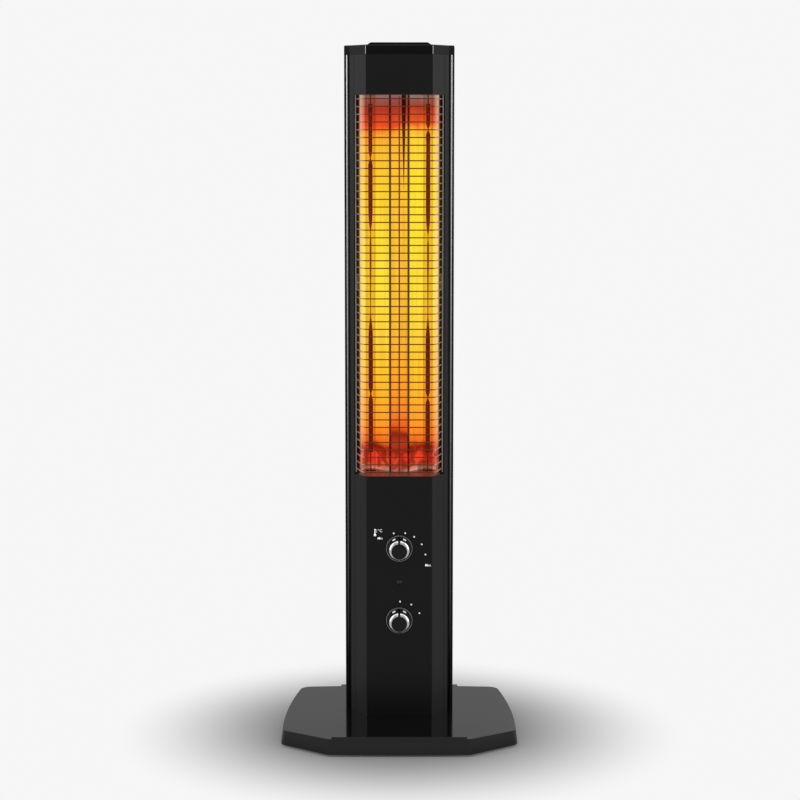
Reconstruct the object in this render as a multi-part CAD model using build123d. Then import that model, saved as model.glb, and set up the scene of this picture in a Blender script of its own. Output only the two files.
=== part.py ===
from build123d import *
import math
import os

# A free-standing infrared tower heater: a faceted column with two carbon lamps
# behind a wire guard, two knobs below them, and a flat plinth.
# X runs to the heater's left-right, the front faces -Y, Z is up, and the origin is
# the middle of the base on the floor.

# Overall sizes
height = 960.0
base_width = 328.0
base_depth = 286.0
column_width = 151.2
column_depth = 100.0
column_setback = 114.4

# Heights of the stacked zones
base_height = 27.0
control_zone = 339.0
head_zone = 54.0
cap_height = 13.0
top_plate_rise = 3.0

# Column section
facet_width = 22.4
facet_drop = 30.6
mullion_width = 5.7
rail_front_width = 7.6
rail_wall = 1.8
rail_nose_drop = 3.6
rail_nose_width = 2.8
groove_depth = 6.0
trim_width = 2.85
trim_rise = 4.6
rear_flange_width = 11.6
cover_depth = 5.4
port_radius = 3.6
port_bore = 1.7
port_inset = 5.0
port_setback = 5.2
rear_port_inset = 17.4
panel_wall = 2.0
tongue_lap = 3.5
fold_radius = 2.0

# Base
base_wall = 3.0
base_draft = 3.4
rim_gap = 3.0
front_margin = 4.6
cheek_depth = 50.5
rear_taper = 18.3
widest_depth = 83.0
front_corner_radius = 12.0
side_corner_radius = 20.0
rear_corner_radius = 18.0
saddle_front_margin = 16.4
saddle_rear_margin = 9.9
saddle_step = 2.6
panel_fall = 1.5
plate_gap = 4.0
plate_thickness = 3.0
stiffener_thickness = 3.0
stiffener_margin = 9.0
foot_radius = 12.0
foot_inset_x = 48.0
foot_inset_y = 46.0
rib_thickness = 2.0
rib_height = 10.0
front_rib_y = -84.0
rear_rib_y = 98.0
boss_radius = 5.0

# Tip-over switch
plunger_radius = 4.0
plunger_travel = 6.0
plunger_lift = 0.3
switch_inset = 27.0
switch_size = (24.0, 18.0, 11.0)

# Heating chamber
wire_pitch = 10.47
wire_size = 1.9
wire_margin = 6.1
basket_depth = 41.0
basket_flare = 9.7
basket_bend = 6.0
basket_setback = 3.0
sheet = 0.8
plate_sheet = 1.5
flange_height = 20.0
reflector_margin = 5.8
reflector_front = 37.6
reflector_rear = 25.4
trough_outer = 9.0
trough_floor = 14.0
ridge_half = 12.8
ridge_drop = 8.0
lamp_margin = 16.5
tube_radius = 7.0
tube_wall = 1.2
pinch_length = 14.0
pinch_thickness = 3.2
ribbon_width = 6.2
ribbon_thickness = 0.5
ribbon_end = 15.0
ribbon_twists = ((0.10, 1), (0.31, 1), (0.72, 1), (0.83, 1))
rod_radius = 0.8
holder_size = (24.0, 20.0, 28.0)
holder_depth = 12.0
shield_drop = 48.0

# Controls
thermostat_height = 265.0
indicator_height = 216.5
selector_height = 163.0
bushing_radius = 5.0
bushing_length = 4.5
nut_width = 14.0
nut_thickness = 2.5
shaft_radius = 3.0
shaft_flat = 1.0
shaft_reach = 17.0
knob_skirt = 18.3
knob_waist = 14.8
knob_face = 13.6
knob_length = 21.0
knob_skirt_top = 2.6
knob_lift = 0.8
knob_wall = 2.0
ring_outer = 14.3
ring_inner = 10.8
ring_depth = 3.2
notch_width = 2.2
thermostat_size = (36.0, 30.0, 26.0)
selector_size = (32.0, 32.0, 30.0)
lens_rim = 4.4
lamp_hole = 3.5

# Rear and wiring
louvre_width = 92.0
louvre_opening = 7.0
louvre_reach = 3.6
louvre_pitch = 17.0
bank_louvres = 5
rim_width = 14.0
cover_wall = 1.5
cap_wall = 2.5
peg_size = 4.0
brace_thickness = 2.0
gland_x = 44.0
gland_height = 62.0
gland_bore = 4.5
gland_body = 7.0
gland_flange = 10.0
terminal_height = 92.0
terminal_size = (62.0, 18.0, 20.0)

# Clearances
seam = 0.3
slide_fit = 0.1
running_fit = 0.15
screw_fit = 0.3
screw_radius = 1.6

# Levels and planes that follow from the sizes above
column_half = column_width / 2
base_half = base_width / 2
front_y = column_setback - base_depth / 2
rear_y = front_y + column_depth
flange_y = rear_y - cover_depth
brace_y = flange_y - rail_wall
saddle_front_half = column_half + saddle_front_margin
saddle_rear_half = column_half + saddle_rear_margin
front_half = saddle_front_half + front_margin
facet_half = column_half - rail_front_width
face_half = facet_half - facet_width
window_half = facet_half - mullion_width
facet_angle = math.atan2(facet_drop, facet_width)
groove_y = front_y + facet_drop + groove_depth
nose_y = front_y + facet_drop + rail_nose_drop
cap_top = height - top_plate_rise
column_top = cap_top - cap_height
window_top = column_top - head_zone
window_bottom = base_height + control_zone
port_x = column_half - port_inset
front_port_y = groove_y + port_setback
rear_port_y = rear_y - rear_port_inset
lamp_x = window_half - reflector_margin - lamp_margin
trough_front_y = front_y + reflector_front
trough_floor_y = rear_y - reflector_rear
lamp_y = (trough_front_y + trough_floor_y) / 2 - 1.5
end_wire_x = window_half - wire_size
wire_y = front_y + basket_setback
end_wire_y = wire_y + basket_depth - wire_size / 2
plate_top = plate_gap + plate_thickness
shield_top = window_bottom - shield_drop
screw_x = column_half - rear_flange_width + 3.4
brace_half = column_half - rail_wall - 0.2


def polygon(*points):
    return make_face(Polyline(*points, close=True))


def raised(face, low, high):
    return Pos(0, 0, low) * extrude(face, high - low)


def block(x_low, x_high, y_low, y_high, z_low, z_high):
    size = (x_high - x_low, y_high - y_low, z_high - z_low)
    middle = ((x_low + x_high) / 2, (y_low + y_high) / 2, (z_low + z_high) / 2)
    return Pos(*middle) * Box(*size)


def upright(x, y, radius, low, high):
    return Pos(x, y, (low + high) / 2) * Cylinder(radius, high - low)


def turned(*profile):
    """Solid of revolution about Z from points of radius and height."""
    return revolve(Plane.XZ * polygon(*profile), Axis.Z)


def facing_front(shape, x, y, z):
    """Place a shape built along +Z so that it points to the front, -Y."""
    return Pos(x, y, z) * Rot(90, 0, 0) * shape


def facing_rear(shape, x, y, z):
    return Pos(x, y, z) * Rot(-90, 0, 0) * shape


def flipped(shape):
    return mirror(shape, about=Plane.YZ)


def folded(points, thickness):
    """Section of a folded sheet: a centre line given a thickness with mitred corners."""
    def normal(a, b):
        length = math.dist(a, b)
        return (-(b[1] - a[1]) / length, (b[0] - a[0]) / length)

    sides = [normal(a, b) for a, b in zip(points, points[1:])]
    left = []
    right = []
    for index, (x, y) in enumerate(points):
        before = sides[max(index - 1, 0)]
        after = sides[min(index, len(sides) - 1)]
        scale = thickness / (1 + before[0] * after[0] + before[1] * after[1])
        dx = (before[0] + after[0]) * scale / 2
        dy = (before[1] + after[1]) * scale / 2
        left.append((x + dx, y + dy))
        right.append((x - dx, y - dy))
    return polygon(*left, *reversed(right))


def facet_y(x, inset=0.0):
    """Depth of the column's slanted facet at half width x, set in by a wall."""
    corner = face_half - inset * math.tan(facet_angle / 2)
    return front_y + inset + (x - corner) * math.tan(facet_angle)


def facet_corner(inset):
    return (face_half - inset * math.tan(facet_angle / 2), front_y + inset)


# Base

def base_outline(inset):
    """Plan of the base: cut front corners and sides that curve in towards the rear."""
    back = base_depth / 2
    side = -back + cheek_depth
    widest = -back + widest_depth
    run = back - widest
    radius = (run ** 2 + rear_taper ** 2) / (2 * rear_taper)
    start = base_half - radius + math.sqrt(radius ** 2 - (side - widest) ** 2)
    rear_half = base_half - rear_taper
    right = Line((front_half, -back), (start, side))
    right += ThreePointArc((start, side), (base_half, widest), (rear_half, back))
    edges = right + mirror(right, about=Plane.YZ)
    edges += Line((-front_half, -back), (front_half, -back))
    edges += Line((-rear_half, back), (rear_half, back))
    outline = make_face(edges.edges())
    for y, corner in ((-back, front_corner_radius), (side, side_corner_radius), (back, rear_corner_radius)):
        outline = fillet([v for v in outline.vertices() if near(v, y)], corner)
    return offset(outline, -inset) if inset else outline


def near(vertex, y):
    return abs(vertex.Y - y) < 0.01


def base_form(inset, low, high):
    """Drafted block of the base with the lower side panels beside the saddle."""
    slope = base_draft / base_height
    bottom = base_outline(inset + slope * low)
    form = Pos(0, 0, low) * extrude(bottom, high - low, taper=math.degrees(math.atan(slope)))
    reach = base_width
    edge = high - saddle_step
    slope = panel_fall / (base_half - saddle_rear_half)
    roof = polygon(
        (0, edge + slope * saddle_rear_half), (reach, edge - slope * (reach - saddle_rear_half)),
        (reach, height), (0, height),
    )
    roof = Pos(0, base_depth, 0) * extrude(Plane.XZ * roof, 2 * base_depth)
    run = (saddle_front_half - saddle_rear_half) / 2
    plan = polygon(
        (saddle_front_half - inset + run, -base_depth),
        (2 * reach, -base_depth),
        (2 * reach, base_depth),
        (saddle_rear_half - inset - run, base_depth),
    )
    side_cut = roof & raised(plan, 0, height)
    return form - side_cut - flipped(side_cut)


def boss_places():
    front = -base_depth / 2 + 24
    rear = base_depth / 2 - 24
    return [(72, front), (-72, front), (60, rear), (-60, rear)]


def column_screw_places():
    return [(s * port_x, y) for s in (-1, 1) for y in (front_port_y, rear_port_y)]


def stiffener_half():
    return saddle_rear_half - base_wall - 1.5


def base_shell():
    outer = base_form(0, rim_gap, base_height)
    cavity = base_form(base_wall, 0, base_height - base_wall)
    shell = outer - cavity
    deep = base_height - base_wall - rib_height
    ribs = block(-base_width, base_width, front_rib_y, front_rib_y + rib_thickness, deep, base_height)
    ribs += block(-base_width, base_width, rear_rib_y, rear_rib_y + rib_thickness, deep, base_height)
    for x, y in boss_places():
        ribs += Pos(x, y, 0) * raised(RegularPolygon(boss_radius, 8), plate_top, base_height)
    shell += ribs & base_form(base_wall / 2, 0, base_height - base_wall / 2)
    for x, y in boss_places():
        shell -= Pos(x, y, 0) * raised(RegularPolygon(screw_radius - 0.2, 6), plate_top - 1, plate_top + 10)
    for x, y in column_screw_places():
        shell -= Pos(x, y, base_height) * square_hole(port_bore, 4 * base_wall)
    return shell


def square_hole(radius, length):
    """Clearance hole for a screw, square where no round face is needed."""
    width = 2 * (radius + screw_fit)
    return Box(width, width, length)


def base_plate():
    inset = base_wall + base_draft * plate_top / base_height + 0.5
    plate = raised(base_outline(inset), plate_gap, plate_top)
    for x, y in boss_places():
        plate -= Pos(x, y, plate_gap) * square_hole(screw_radius, 4 * plate_thickness)
    return plate - upright(0, switch_y(), plunger_radius + 0.5, 0, plate_top + 1)


def foot_places():
    x = base_half - foot_inset_x
    y = base_depth / 2 - foot_inset_y
    return [(-x, -y), (x, -y), (-x, y), (x, y)]


def rubber_feet():
    """Round tapered pads bonded under the plate."""
    pad = turned((0, 0), (foot_radius, 0), (foot_radius - 1.2, plate_gap), (0, plate_gap))
    return Compound(children=[Pos(x, y, 0) * pad for x, y in foot_places()])


def pan_screw(length, radius, head_radius, head_height):
    """Screw along +Z with its head below the origin, faceted to keep it light."""
    head = extrude(RegularPolygon(head_radius, 8), -head_height)
    return head + extrude(RegularPolygon(radius, 6), length)


def base_plate_screws():
    screw = pan_screw(plate_thickness + 8, screw_radius - 0.25, 3.4, 2.0)
    return Compound(children=[Pos(x, y, plate_gap) * screw for x, y in boss_places()])


def stiffener_plate():
    """Steel plate that spreads the column screws' pull under the saddle."""
    top = base_height - base_wall
    half = stiffener_half()
    low_y = front_port_y - stiffener_margin
    high_y = rear_port_y + stiffener_margin
    plate = block(-half, half, low_y, high_y, top - stiffener_thickness, top)
    for x, y in column_screw_places():
        plate -= Pos(x, y, top) * square_hole(port_bore, 4 * stiffener_thickness)
    return plate


def column_screws():
    head = base_height - base_wall - stiffener_thickness
    screw = pan_screw(base_height - head + 16, port_bore - 0.05, 4.0, 2.6)
    return Compound(children=[Pos(x, y, head) * screw for x, y in column_screw_places()])


def switch_y():
    return base_depth / 2 - switch_inset


def tilt_switch():
    """Microswitch standing on the base plate, with a chimney for the plunger."""
    width, depth, tall = switch_size
    y = switch_y()
    body = block(-width / 2, width / 2, y - depth / 2, y + depth / 2, plate_top, plate_top + tall)
    body = chamfer(body.edges().filter_by(Axis.Z), 2)
    body += block(-width / 2 - 5, width / 2 + 5, y - 4, y + 4, plate_top, plate_top + 2)
    return body - upright(0, y, plunger_radius + 0.4, 0, plate_top + tall - 2)


def tilt_plunger():
    """Pin that the floor holds up: it drops through the plate when the heater tips."""
    low = plunger_lift
    pin = turned((0, low), (plunger_radius, low), (plunger_radius, plate_top + 2), (1.5, plate_top + 4), (0, plate_top + 4))
    pin += raised(RegularPolygon(1.5, 6), plate_top + 3, plate_top + 7)
    return Pos(0, switch_y(), 0) * pin


# Column

def rail_section():
    wall = rail_wall
    inner = facet_half - wall
    lip = polygon(
        (window_half, facet_y(window_half)), (facet_half, facet_y(facet_half)),
        (facet_half, facet_y(facet_half, wall)), (window_half, facet_y(window_half, wall)),
    )
    groove_side = polygon(
        (inner, facet_y(inner)), (facet_half, facet_y(facet_half)),
        (facet_half, groove_y + wall), (inner, groove_y + wall),
    )
    floor = polygon(
        (inner, groove_y), (column_half, groove_y),
        (column_half, groove_y + wall), (inner, groove_y + wall),
    )
    nose_radius = rail_nose_width / 2
    nose_x = column_half - nose_radius
    nose = Pos(nose_x, nose_y + nose_radius) * Circle(nose_radius)
    nose += polygon(
        (column_half - rail_nose_width, nose_y + nose_radius), (column_half, nose_y + nose_radius),
        (column_half, groove_y + wall), (column_half - rail_nose_width, groove_y + wall),
    )
    side = polygon(
        (column_half - wall, groove_y), (column_half, groove_y),
        (column_half, flange_y), (column_half - wall, flange_y),
    )
    flange = polygon(
        (column_half - rear_flange_width, brace_y), (column_half, brace_y),
        (column_half, flange_y), (column_half - rear_flange_width, flange_y),
    )
    slot_near = panel_wall + wall + slide_fit
    slot_far = slot_near + 1.2
    rib_tip = window_half - 1.3
    rib_root = facet_half - wall / 2
    rib = polygon(
        (rib_tip, facet_y(rib_tip, slot_near)), (rib_root, facet_y(rib_root, slot_near)),
        (rib_root, facet_y(rib_root, slot_far)), (rib_tip, facet_y(rib_tip, slot_far)),
    )
    ports = Pos(port_x, front_port_y) * RegularPolygon(port_radius, 8)
    ports += Pos(port_x, rear_port_y) * RegularPolygon(port_radius, 8)
    section = lip + groove_side + floor + nose + side + flange + rib + ports
    for y in (front_port_y, rear_port_y):
        section -= Pos(port_x, y) * RegularPolygon(port_bore, 6)
        section -= Pos(port_x - port_radius, y) * Rectangle(port_radius * 2, 1.4)
    return section


def side_rail():
    """Extruded rail with square holes punched in its rear flange for the cover's screws."""
    rail = raised(rail_section(), base_height, column_top)
    hole = facing_rear(square_hole(screw_radius, 4 * rail_wall), screw_x, flange_y, 0)
    for z in cover_screw_heights():
        rail -= Pos(0, 0, z) * hole
    return rail


def trim_strip():
    """Bright strip standing in the rail's groove, with a rounded front."""
    right = column_half - rail_nose_width - 0.05
    left = right - trim_width
    radius = trim_width / 2
    front = groove_y - trim_rise
    section = polygon((left, front + radius), (right, front + radius), (right, groove_y), (left, groove_y))
    section += Pos((left + right) / 2, front + radius) * Circle(radius)
    return raised(section, base_height, column_top)


def fascia_section():
    """Folded front skin with tongues that slide in behind the rails' lips."""
    edge = window_half - seam
    outer = [(-edge, facet_y(edge)), (-face_half, front_y), (face_half, front_y), (edge, facet_y(edge))]
    inner_x, inner_y = facet_corner(panel_wall)
    inner = [
        (edge, facet_y(edge, panel_wall)), (inner_x, inner_y),
        (-inner_x, inner_y), (-edge, facet_y(edge, panel_wall)),
    ]
    section = polygon(*outer, *inner)
    near_side = rail_wall + slide_fit
    far_side = near_side + panel_wall - slide_fit
    root = edge - tongue_lap
    tip = facet_half - rail_wall - 4 * slide_fit
    tongue = polygon(
        (root, facet_y(root, near_side)), (tip, facet_y(tip, near_side)),
        (tip, facet_y(tip, far_side)), (root, facet_y(root, far_side)),
    )
    step = polygon(
        (root, facet_y(root, panel_wall / 2)), (edge, facet_y(edge, panel_wall / 2)),
        (edge, facet_y(edge, far_side)), (root, facet_y(root, far_side)),
    )
    for piece in (tongue, step):
        section += piece
        section += mirror(piece, about=Plane.YZ)
    return section


def fascia(low, high):
    skin = raised(fascia_section(), low, high)
    folds = [e for e in skin.edges().filter_by(Axis.Z) if abs(e.center().Y - front_y) < 0.01]
    return fillet(folds, fold_radius)


def control_panel():
    panel = fascia(base_height, window_bottom)
    for z in (thermostat_height, selector_height):
        panel -= facing_front(Cylinder(bushing_radius + 0.2, 20), 0, front_y, z)
    return panel - facing_front(Cylinder(lamp_hole, 20), 0, front_y, indicator_height)


def upper_fascia():
    return fascia(window_top, column_top)


def cover_screw_heights():
    middle = (window_bottom + window_top) / 2
    drop = flange_height / 2
    return [terminal_height, window_bottom - drop, middle, window_top + drop]


def louvre():
    """One pressed hood over its slot, built at height 0."""
    wall = cover_wall
    tall = louvre_opening
    hood = polygon(
        (-wall, tall + 2), (0, tall + 2), (louvre_reach, 1.0), (louvre_reach - wall, 0.4), (-wall, tall),
    )
    shape = Pos(-louvre_width / 2, 0, 0) * extrude(Plane.YZ * hood, louvre_width)
    return Pos(0, rear_y, 0) * shape


def louvre_heights():
    """Two banks of slots behind the lamps and one behind the controls."""
    middle = (window_bottom + window_top) / 2
    run = (bank_louvres - 1) * louvre_pitch
    starts = (terminal_height + 40, middle - run - 30, middle + 22)
    return [start + i * louvre_pitch for start in starts for i in range(bank_louvres)]


def cover_section():
    """Pressed pan: flat rims on the rails and a raised middle."""
    wall = cover_wall
    rim_y = flange_y + wall
    shoulder = column_half - rim_width
    top = shoulder - cover_depth
    right = [
        (column_half, flange_y), (column_half, rim_y), (shoulder, rim_y), (top, rear_y),
        (-top, rear_y), (-shoulder, rim_y), (-column_half, rim_y), (-column_half, flange_y),
        (-shoulder + wall, flange_y), (-top + wall / 2, rear_y - wall),
        (top - wall / 2, rear_y - wall), (shoulder - wall, flange_y),
    ]
    return polygon(*right)


def rear_cover():
    """Pan closed at both ends, with louvres, screw holes and the lead's hole."""
    cover = raised(cover_section(), base_height, column_top)
    top = column_half - rim_width - cover_depth
    end = block(-top, top, flange_y, rear_y, 0, cover_wall)
    cover += Pos(0, 0, base_height) * end
    cover += Pos(0, 0, column_top - cover_wall) * end
    half = louvre_width / 2 - cover_wall
    for z in louvre_heights():
        cover -= block(-half, half, rear_y - 2 * cover_wall, rear_y + 1, z, z + louvre_opening)
    cover += [Pos(0, 0, z) * louvre() for z in louvre_heights()]
    for z in cover_screw_heights():
        for side in (-1, 1):
            cover -= facing_rear(square_hole(screw_radius, 4 * cover_depth), side * screw_x, rear_y, z)
    return cover - facing_rear(Cylinder(gland_body + slide_fit, 40), gland_x, rear_y, gland_height)


def rear_cover_screws():
    seat = flange_y + cover_wall
    screw = pan_screw(cover_wall + rail_wall + 6, screw_radius, 3.6, 1.8)
    screws = []
    for z in cover_screw_heights():
        for side in (-1, 1):
            screws.append(facing_front(screw, side * screw_x, seat, z))
    return Compound(children=screws)


def column_outline(inset):
    shoulder = column_half - rim_width
    right = [
        (face_half, front_y), (facet_half, facet_y(facet_half)), (column_half, nose_y),
        (column_half, flange_y + cover_wall), (shoulder, flange_y + cover_wall),
        (shoulder - cover_depth, rear_y),
    ]
    left = [(-x, y) for x, y in reversed(right)]
    outline = polygon(*right, *left)
    return offset(outline, -inset, kind=Kind.INTERSECTION) if inset else outline


def top_cap():
    """Moulded cap with four posts that the rails' screws pass through."""
    cap = raised(column_outline(0), column_top, cap_top)
    cap = chamfer(cap.faces().sort_by(Axis.Z)[-1].edges(), 1.2)
    cap -= raised(column_outline(cap_wall), column_top - 1, cap_top - cap_wall)
    limit = raised(column_outline(cap_wall / 2), column_top, cap_top - cap_wall / 2)
    for x, y in column_screw_places():
        cap += Pos(x, y, column_top) * Box(9, 9, 4 * cap_height) & limit
    for x, y in column_screw_places():
        cap -= Pos(x, y, cap_top) * square_hole(port_bore, 4 * cap_height)
    for y in peg_places():
        cap -= Pos(0, y, cap_top) * Box(peg_size + 2 * slide_fit, peg_size + 2 * slide_fit, 4 * cap_wall)
    return cap


def cap_screws():
    screw = pan_screw(cap_height + 12, port_bore - 0.05, 3.4, 1.8)
    screws = [Pos(x, y, cap_top) * Rot(180, 0, 0) * screw for x, y in column_screw_places()]
    return Compound(children=screws)


def peg_places():
    return (front_y + 20, rear_y - 30)


def top_plate():
    """Raised centre plate with sloped shoulders and two pegs in the cap."""
    low_half = face_half - 2
    high_half = low_half - 5
    profile = polygon((-low_half, cap_top), (-high_half, height), (high_half, height), (low_half, cap_top))
    plate = Pos(0, rear_y - 9, 0) * extrude(Plane.XZ * profile, column_depth - 11)
    for y in peg_places():
        plate += Pos(0, y, cap_top) * Box(peg_size, peg_size, 4)
    return plate


# Heating chamber

def chamber_plan():
    """Plan of the chamber's end plates, inside the front skin and the rails."""
    inset = panel_wall + seam
    corner_x, corner_y = facet_corner(inset)
    neck = window_half - seam - tongue_lap - 1.2
    wide = column_half - port_inset - port_radius - 2
    right = [
        (corner_x, corner_y), (neck, facet_y(neck, inset)), (neck, groove_y),
        (wide, groove_y + 4), (wide, brace_y),
    ]
    left = [(-x, y) for x, y in reversed(right)]
    return polygon(*right, *left)


def brace(low, high, y):
    """Flange from rail to rail, notched at both ends for the cover's screws."""
    flange = block(-brace_half, brace_half, y - brace_thickness, y, low, high)
    return flange


def notched(shape, z):
    reach = screw_radius + screw_fit
    for side in (-1, 1):
        x = side * screw_x
        outer = side * (brace_half + 1)
        low, high = sorted((x - side * reach, outer))
        shape -= block(low, high, brace_y - 3 * brace_thickness, brace_y + 1, z - reach, z + reach)
    return shape


def chamber_end(low, flange_low):
    plate = raised(chamber_plan(), low, low + plate_sheet)
    plate += brace(flange_low, flange_low + flange_height, brace_y)
    hole = Rectangle(wire_size + 0.4, wire_size + 0.4)
    for side in (-1, 1):
        plate -= upright(side * lamp_x, lamp_y, tube_radius + 0.4, low - 1, low + 3)
        plate -= raised(end_post(side, hole), low - 1, low + 3)
    return notched(plate, flange_low + flange_height / 2)


def reflector_end_upper():
    return chamber_end(window_top, window_top)


def reflector_end_lower():
    return chamber_end(window_bottom - plate_sheet, window_bottom - flange_height)


def reflector_line():
    outer = window_half - reflector_margin
    floor_outer = outer - trough_outer
    floor_inner = floor_outer - trough_floor
    right = [
        (ridge_half, trough_front_y + ridge_drop), (floor_inner, trough_floor_y),
        (floor_outer, trough_floor_y), (outer, trough_front_y),
    ]
    left = [(-x, y) for x, y in reversed(right)]
    return left + right


def reflector():
    return raised(folded(reflector_line(), sheet), window_bottom, window_top)


def floor_middle():
    return window_half - reflector_margin - trough_outer - trough_floor / 2


def reflector_bracket():
    """Hat-shaped strap from rail to rail, spot-welded to the troughs' floors."""
    z = (window_bottom + window_top) / 2
    thick = brace_thickness
    back = brace_y - thick / 2
    seat = trough_floor_y + sheet / 2 + thick / 2
    middle = floor_middle()
    half = trough_floor / 2 - 1
    right = [
        (middle - half - 6, back), (middle - half, seat), (middle + half, seat),
        (middle + half + 4, back), (brace_half, back),
    ]
    left = [(-x, y) for x, y in reversed(right)]
    strap = raised(folded(left + right, thick), z - flange_height / 2, z + flange_height / 2)
    return notched(strap, z)


def lamp_low():
    return window_bottom - plate_sheet - holder_depth + 2


def lamp_high():
    return window_top + plate_sheet + holder_depth - 2


def lamp_tube(side):
    """Quartz tube, closed at both ends by a flat pinched seal."""
    low = lamp_low()
    high = lamp_high()
    tube = upright(0, 0, tube_radius, low, high)
    tube -= upright(0, 0, tube_radius - tube_wall, low + 3, high - 3)
    for seal_low, seal_high in ((low - pinch_length, low + 1), (high - 1, high + pinch_length)):
        half = pinch_thickness / 2
        seal = block(1 - tube_radius, tube_radius - 1, -half, half, seal_low, seal_high)
        tube += seal
    return Pos(side * lamp_x, lamp_y, 0) * tube


def ribbon_angle(share):
    """Turn of the ribbon, in degrees, at a share of its length from the top."""
    turn = 0.0
    for centre, direction in ribbon_twists:
        ease = min(max((share - centre) / 0.07 + 0.5, 0), 1)
        turn += direction * 90 * ease * ease * (3 - 2 * ease)
    return turn


def carbon_ribbon(side):
    """Flat carbon strip that twists between two rods sealed in the tube's ends."""
    high = window_top - ribbon_end
    low = window_bottom + ribbon_end
    turns = [centre + step for centre, _ in ribbon_twists for step in (-0.035, 0, 0.035)]
    sections = []
    for share in [0] + turns + [1]:
        z = high - share * (high - low)
        strip = Rot(0, 0, side * ribbon_angle(share)) * Rectangle(ribbon_width, ribbon_thickness)
        sections.append(Pos(0, 0, z) * strip)
    ribbon = loft(sections, ruled=True)
    rod = RegularPolygon(rod_radius, 6)
    ribbon += raised(rod, high - 6, lamp_high() - 3)
    ribbon += raised(rod, lamp_low() + 3, low + 6)
    return Pos(side * lamp_x, lamp_y, 0) * ribbon


def lamp_holder():
    """Ceramic block with a socket for the tube and a slot for its seal."""
    width, depth, tall = holder_size
    body = chamfer(Box(width, depth, tall).edges().filter_by(Axis.Z), 2)
    body = Pos(0, 0, -tall / 2) * body
    body -= raised(RegularPolygon(tube_radius + 0.6, 12), -holder_depth, 1)
    return body - block(0.7 - tube_radius, tube_radius - 0.7, -2, 2, -tall + 3, 0)


def lamp_holders():
    holder = lamp_holder()
    low = window_bottom - plate_sheet
    high = window_top + plate_sheet
    lower = [Pos(side * lamp_x, lamp_y, low) * holder for side in (-1, 1)]
    upper = [Pos(side * lamp_x, lamp_y, high) * Rot(180, 0, 0) * holder for side in (-1, 1)]
    return Compound(children=lower + upper)


def wire_heights():
    span = window_top - window_bottom - 2 * wire_margin
    count = int(span / wire_pitch) + 1
    start = (window_top + window_bottom - (count - 1) * wire_pitch) / 2
    return [start + i * wire_pitch for i in range(count)]


def basket_path():
    """Plan of one guard wire: flat across the front, with a leg bent back at each end."""
    corner = end_wire_x - basket_flare
    lean = math.atan2(basket_flare, basket_depth)
    leg = (corner + basket_bend * math.sin(lean), wire_y + basket_bend * math.cos(lean))
    right = [(corner - basket_bend, wire_y), leg, (end_wire_x, end_wire_y)]
    left = [(-x, y) for x, y in reversed(right)]
    return left + right


def end_post(side, section):
    """Section of an end post, turned so that a flat meets the wires' ends."""
    lean = math.atan2(basket_flare, basket_depth - wire_size / 2)
    x = side * (end_wire_x + wire_size / 2 * math.sin(lean))
    y = end_wire_y + wire_size / 2 * math.cos(lean)
    return Pos(x, y) * Rot(0, 0, -side * math.degrees(lean)) * section


def guard_grille():
    """Basket of bent cross wires welded to two end posts and one middle post."""
    section = Rectangle(wire_size, wire_size)
    path = Polyline(*basket_path())
    first = Plane(origin=path @ 0, x_dir=(0, 0, 1), z_dir=path % 0)
    wire = sweep(first * section, path, transition=Transition.RIGHT)
    heights = wire_heights()
    low = window_bottom - plate_sheet
    high = window_top + plate_sheet
    middle = raised(Pos(0, wire_y - wire_size) * section, heights[0] - 3, heights[-1] + 3)
    posts = [middle] + [raised(end_post(side, section), low, high) for side in (-1, 1)]
    return posts[0] + posts[1:] + [Pos(0, 0, z) * wire for z in heights]


def heat_shield():
    """Sheet that keeps the lamps' heat out of the control compartment."""
    shield = raised(chamber_plan(), shield_top - plate_sheet, shield_top)
    high = window_bottom - plate_sheet - slide_fit
    shield += brace(shield_top - plate_sheet, high, brace_y - brace_thickness)
    rear = brace_y - brace_thickness
    shield -= block(-column_half, column_half, rear, rear_y, 0, height)
    return notched(shield, window_bottom - flange_height / 2)


# Controls

def control_body(size, z):
    """Switch body behind the panel, with its threaded bushing through the hole."""
    width, depth, tall = size
    back = Box(width, tall, depth, align=(Align.CENTER, Align.CENTER, Align.MAX))
    back = chamfer(back.edges().filter_by(Axis.Z), 3)
    back = Pos(0, 0, -panel_wall) * back
    bushing = Cylinder(bushing_radius, panel_wall + bushing_length + 2)
    bushing = Pos(0, 0, (bushing_length - panel_wall - 2) / 2) * bushing
    body = back + bushing
    for x in (-width / 4, width / 4):
        tab = Box(6.3, 0.8, 9, align=(Align.CENTER, Align.CENTER, Align.MAX))
        body += Pos(x, 0, 1 - panel_wall - depth) * tab
    body -= Pos(0, 0, bushing_length - 6) * Cylinder(shaft_radius + running_fit, 22)
    return facing_front(body, 0, front_y, z)


def control_nut(z):
    nut = extrude(RegularPolygon(nut_width / 2, 6, major_radius=False), nut_thickness)
    nut -= Cylinder(bushing_radius + slide_fit, 4 * nut_thickness)
    return facing_front(nut, 0, front_y, z)


def shaft_form(radius, flat, low, high):
    shaft = upright(0, 0, radius, low, high)
    flat_from = bushing_length + 1
    return shaft - block(-radius, radius, radius - flat, radius + 1, flat_from, high + 1)


def control_shaft(z):
    return facing_front(shaft_form(shaft_radius, shaft_flat, -12, shaft_reach), 0, front_y, z)


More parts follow.
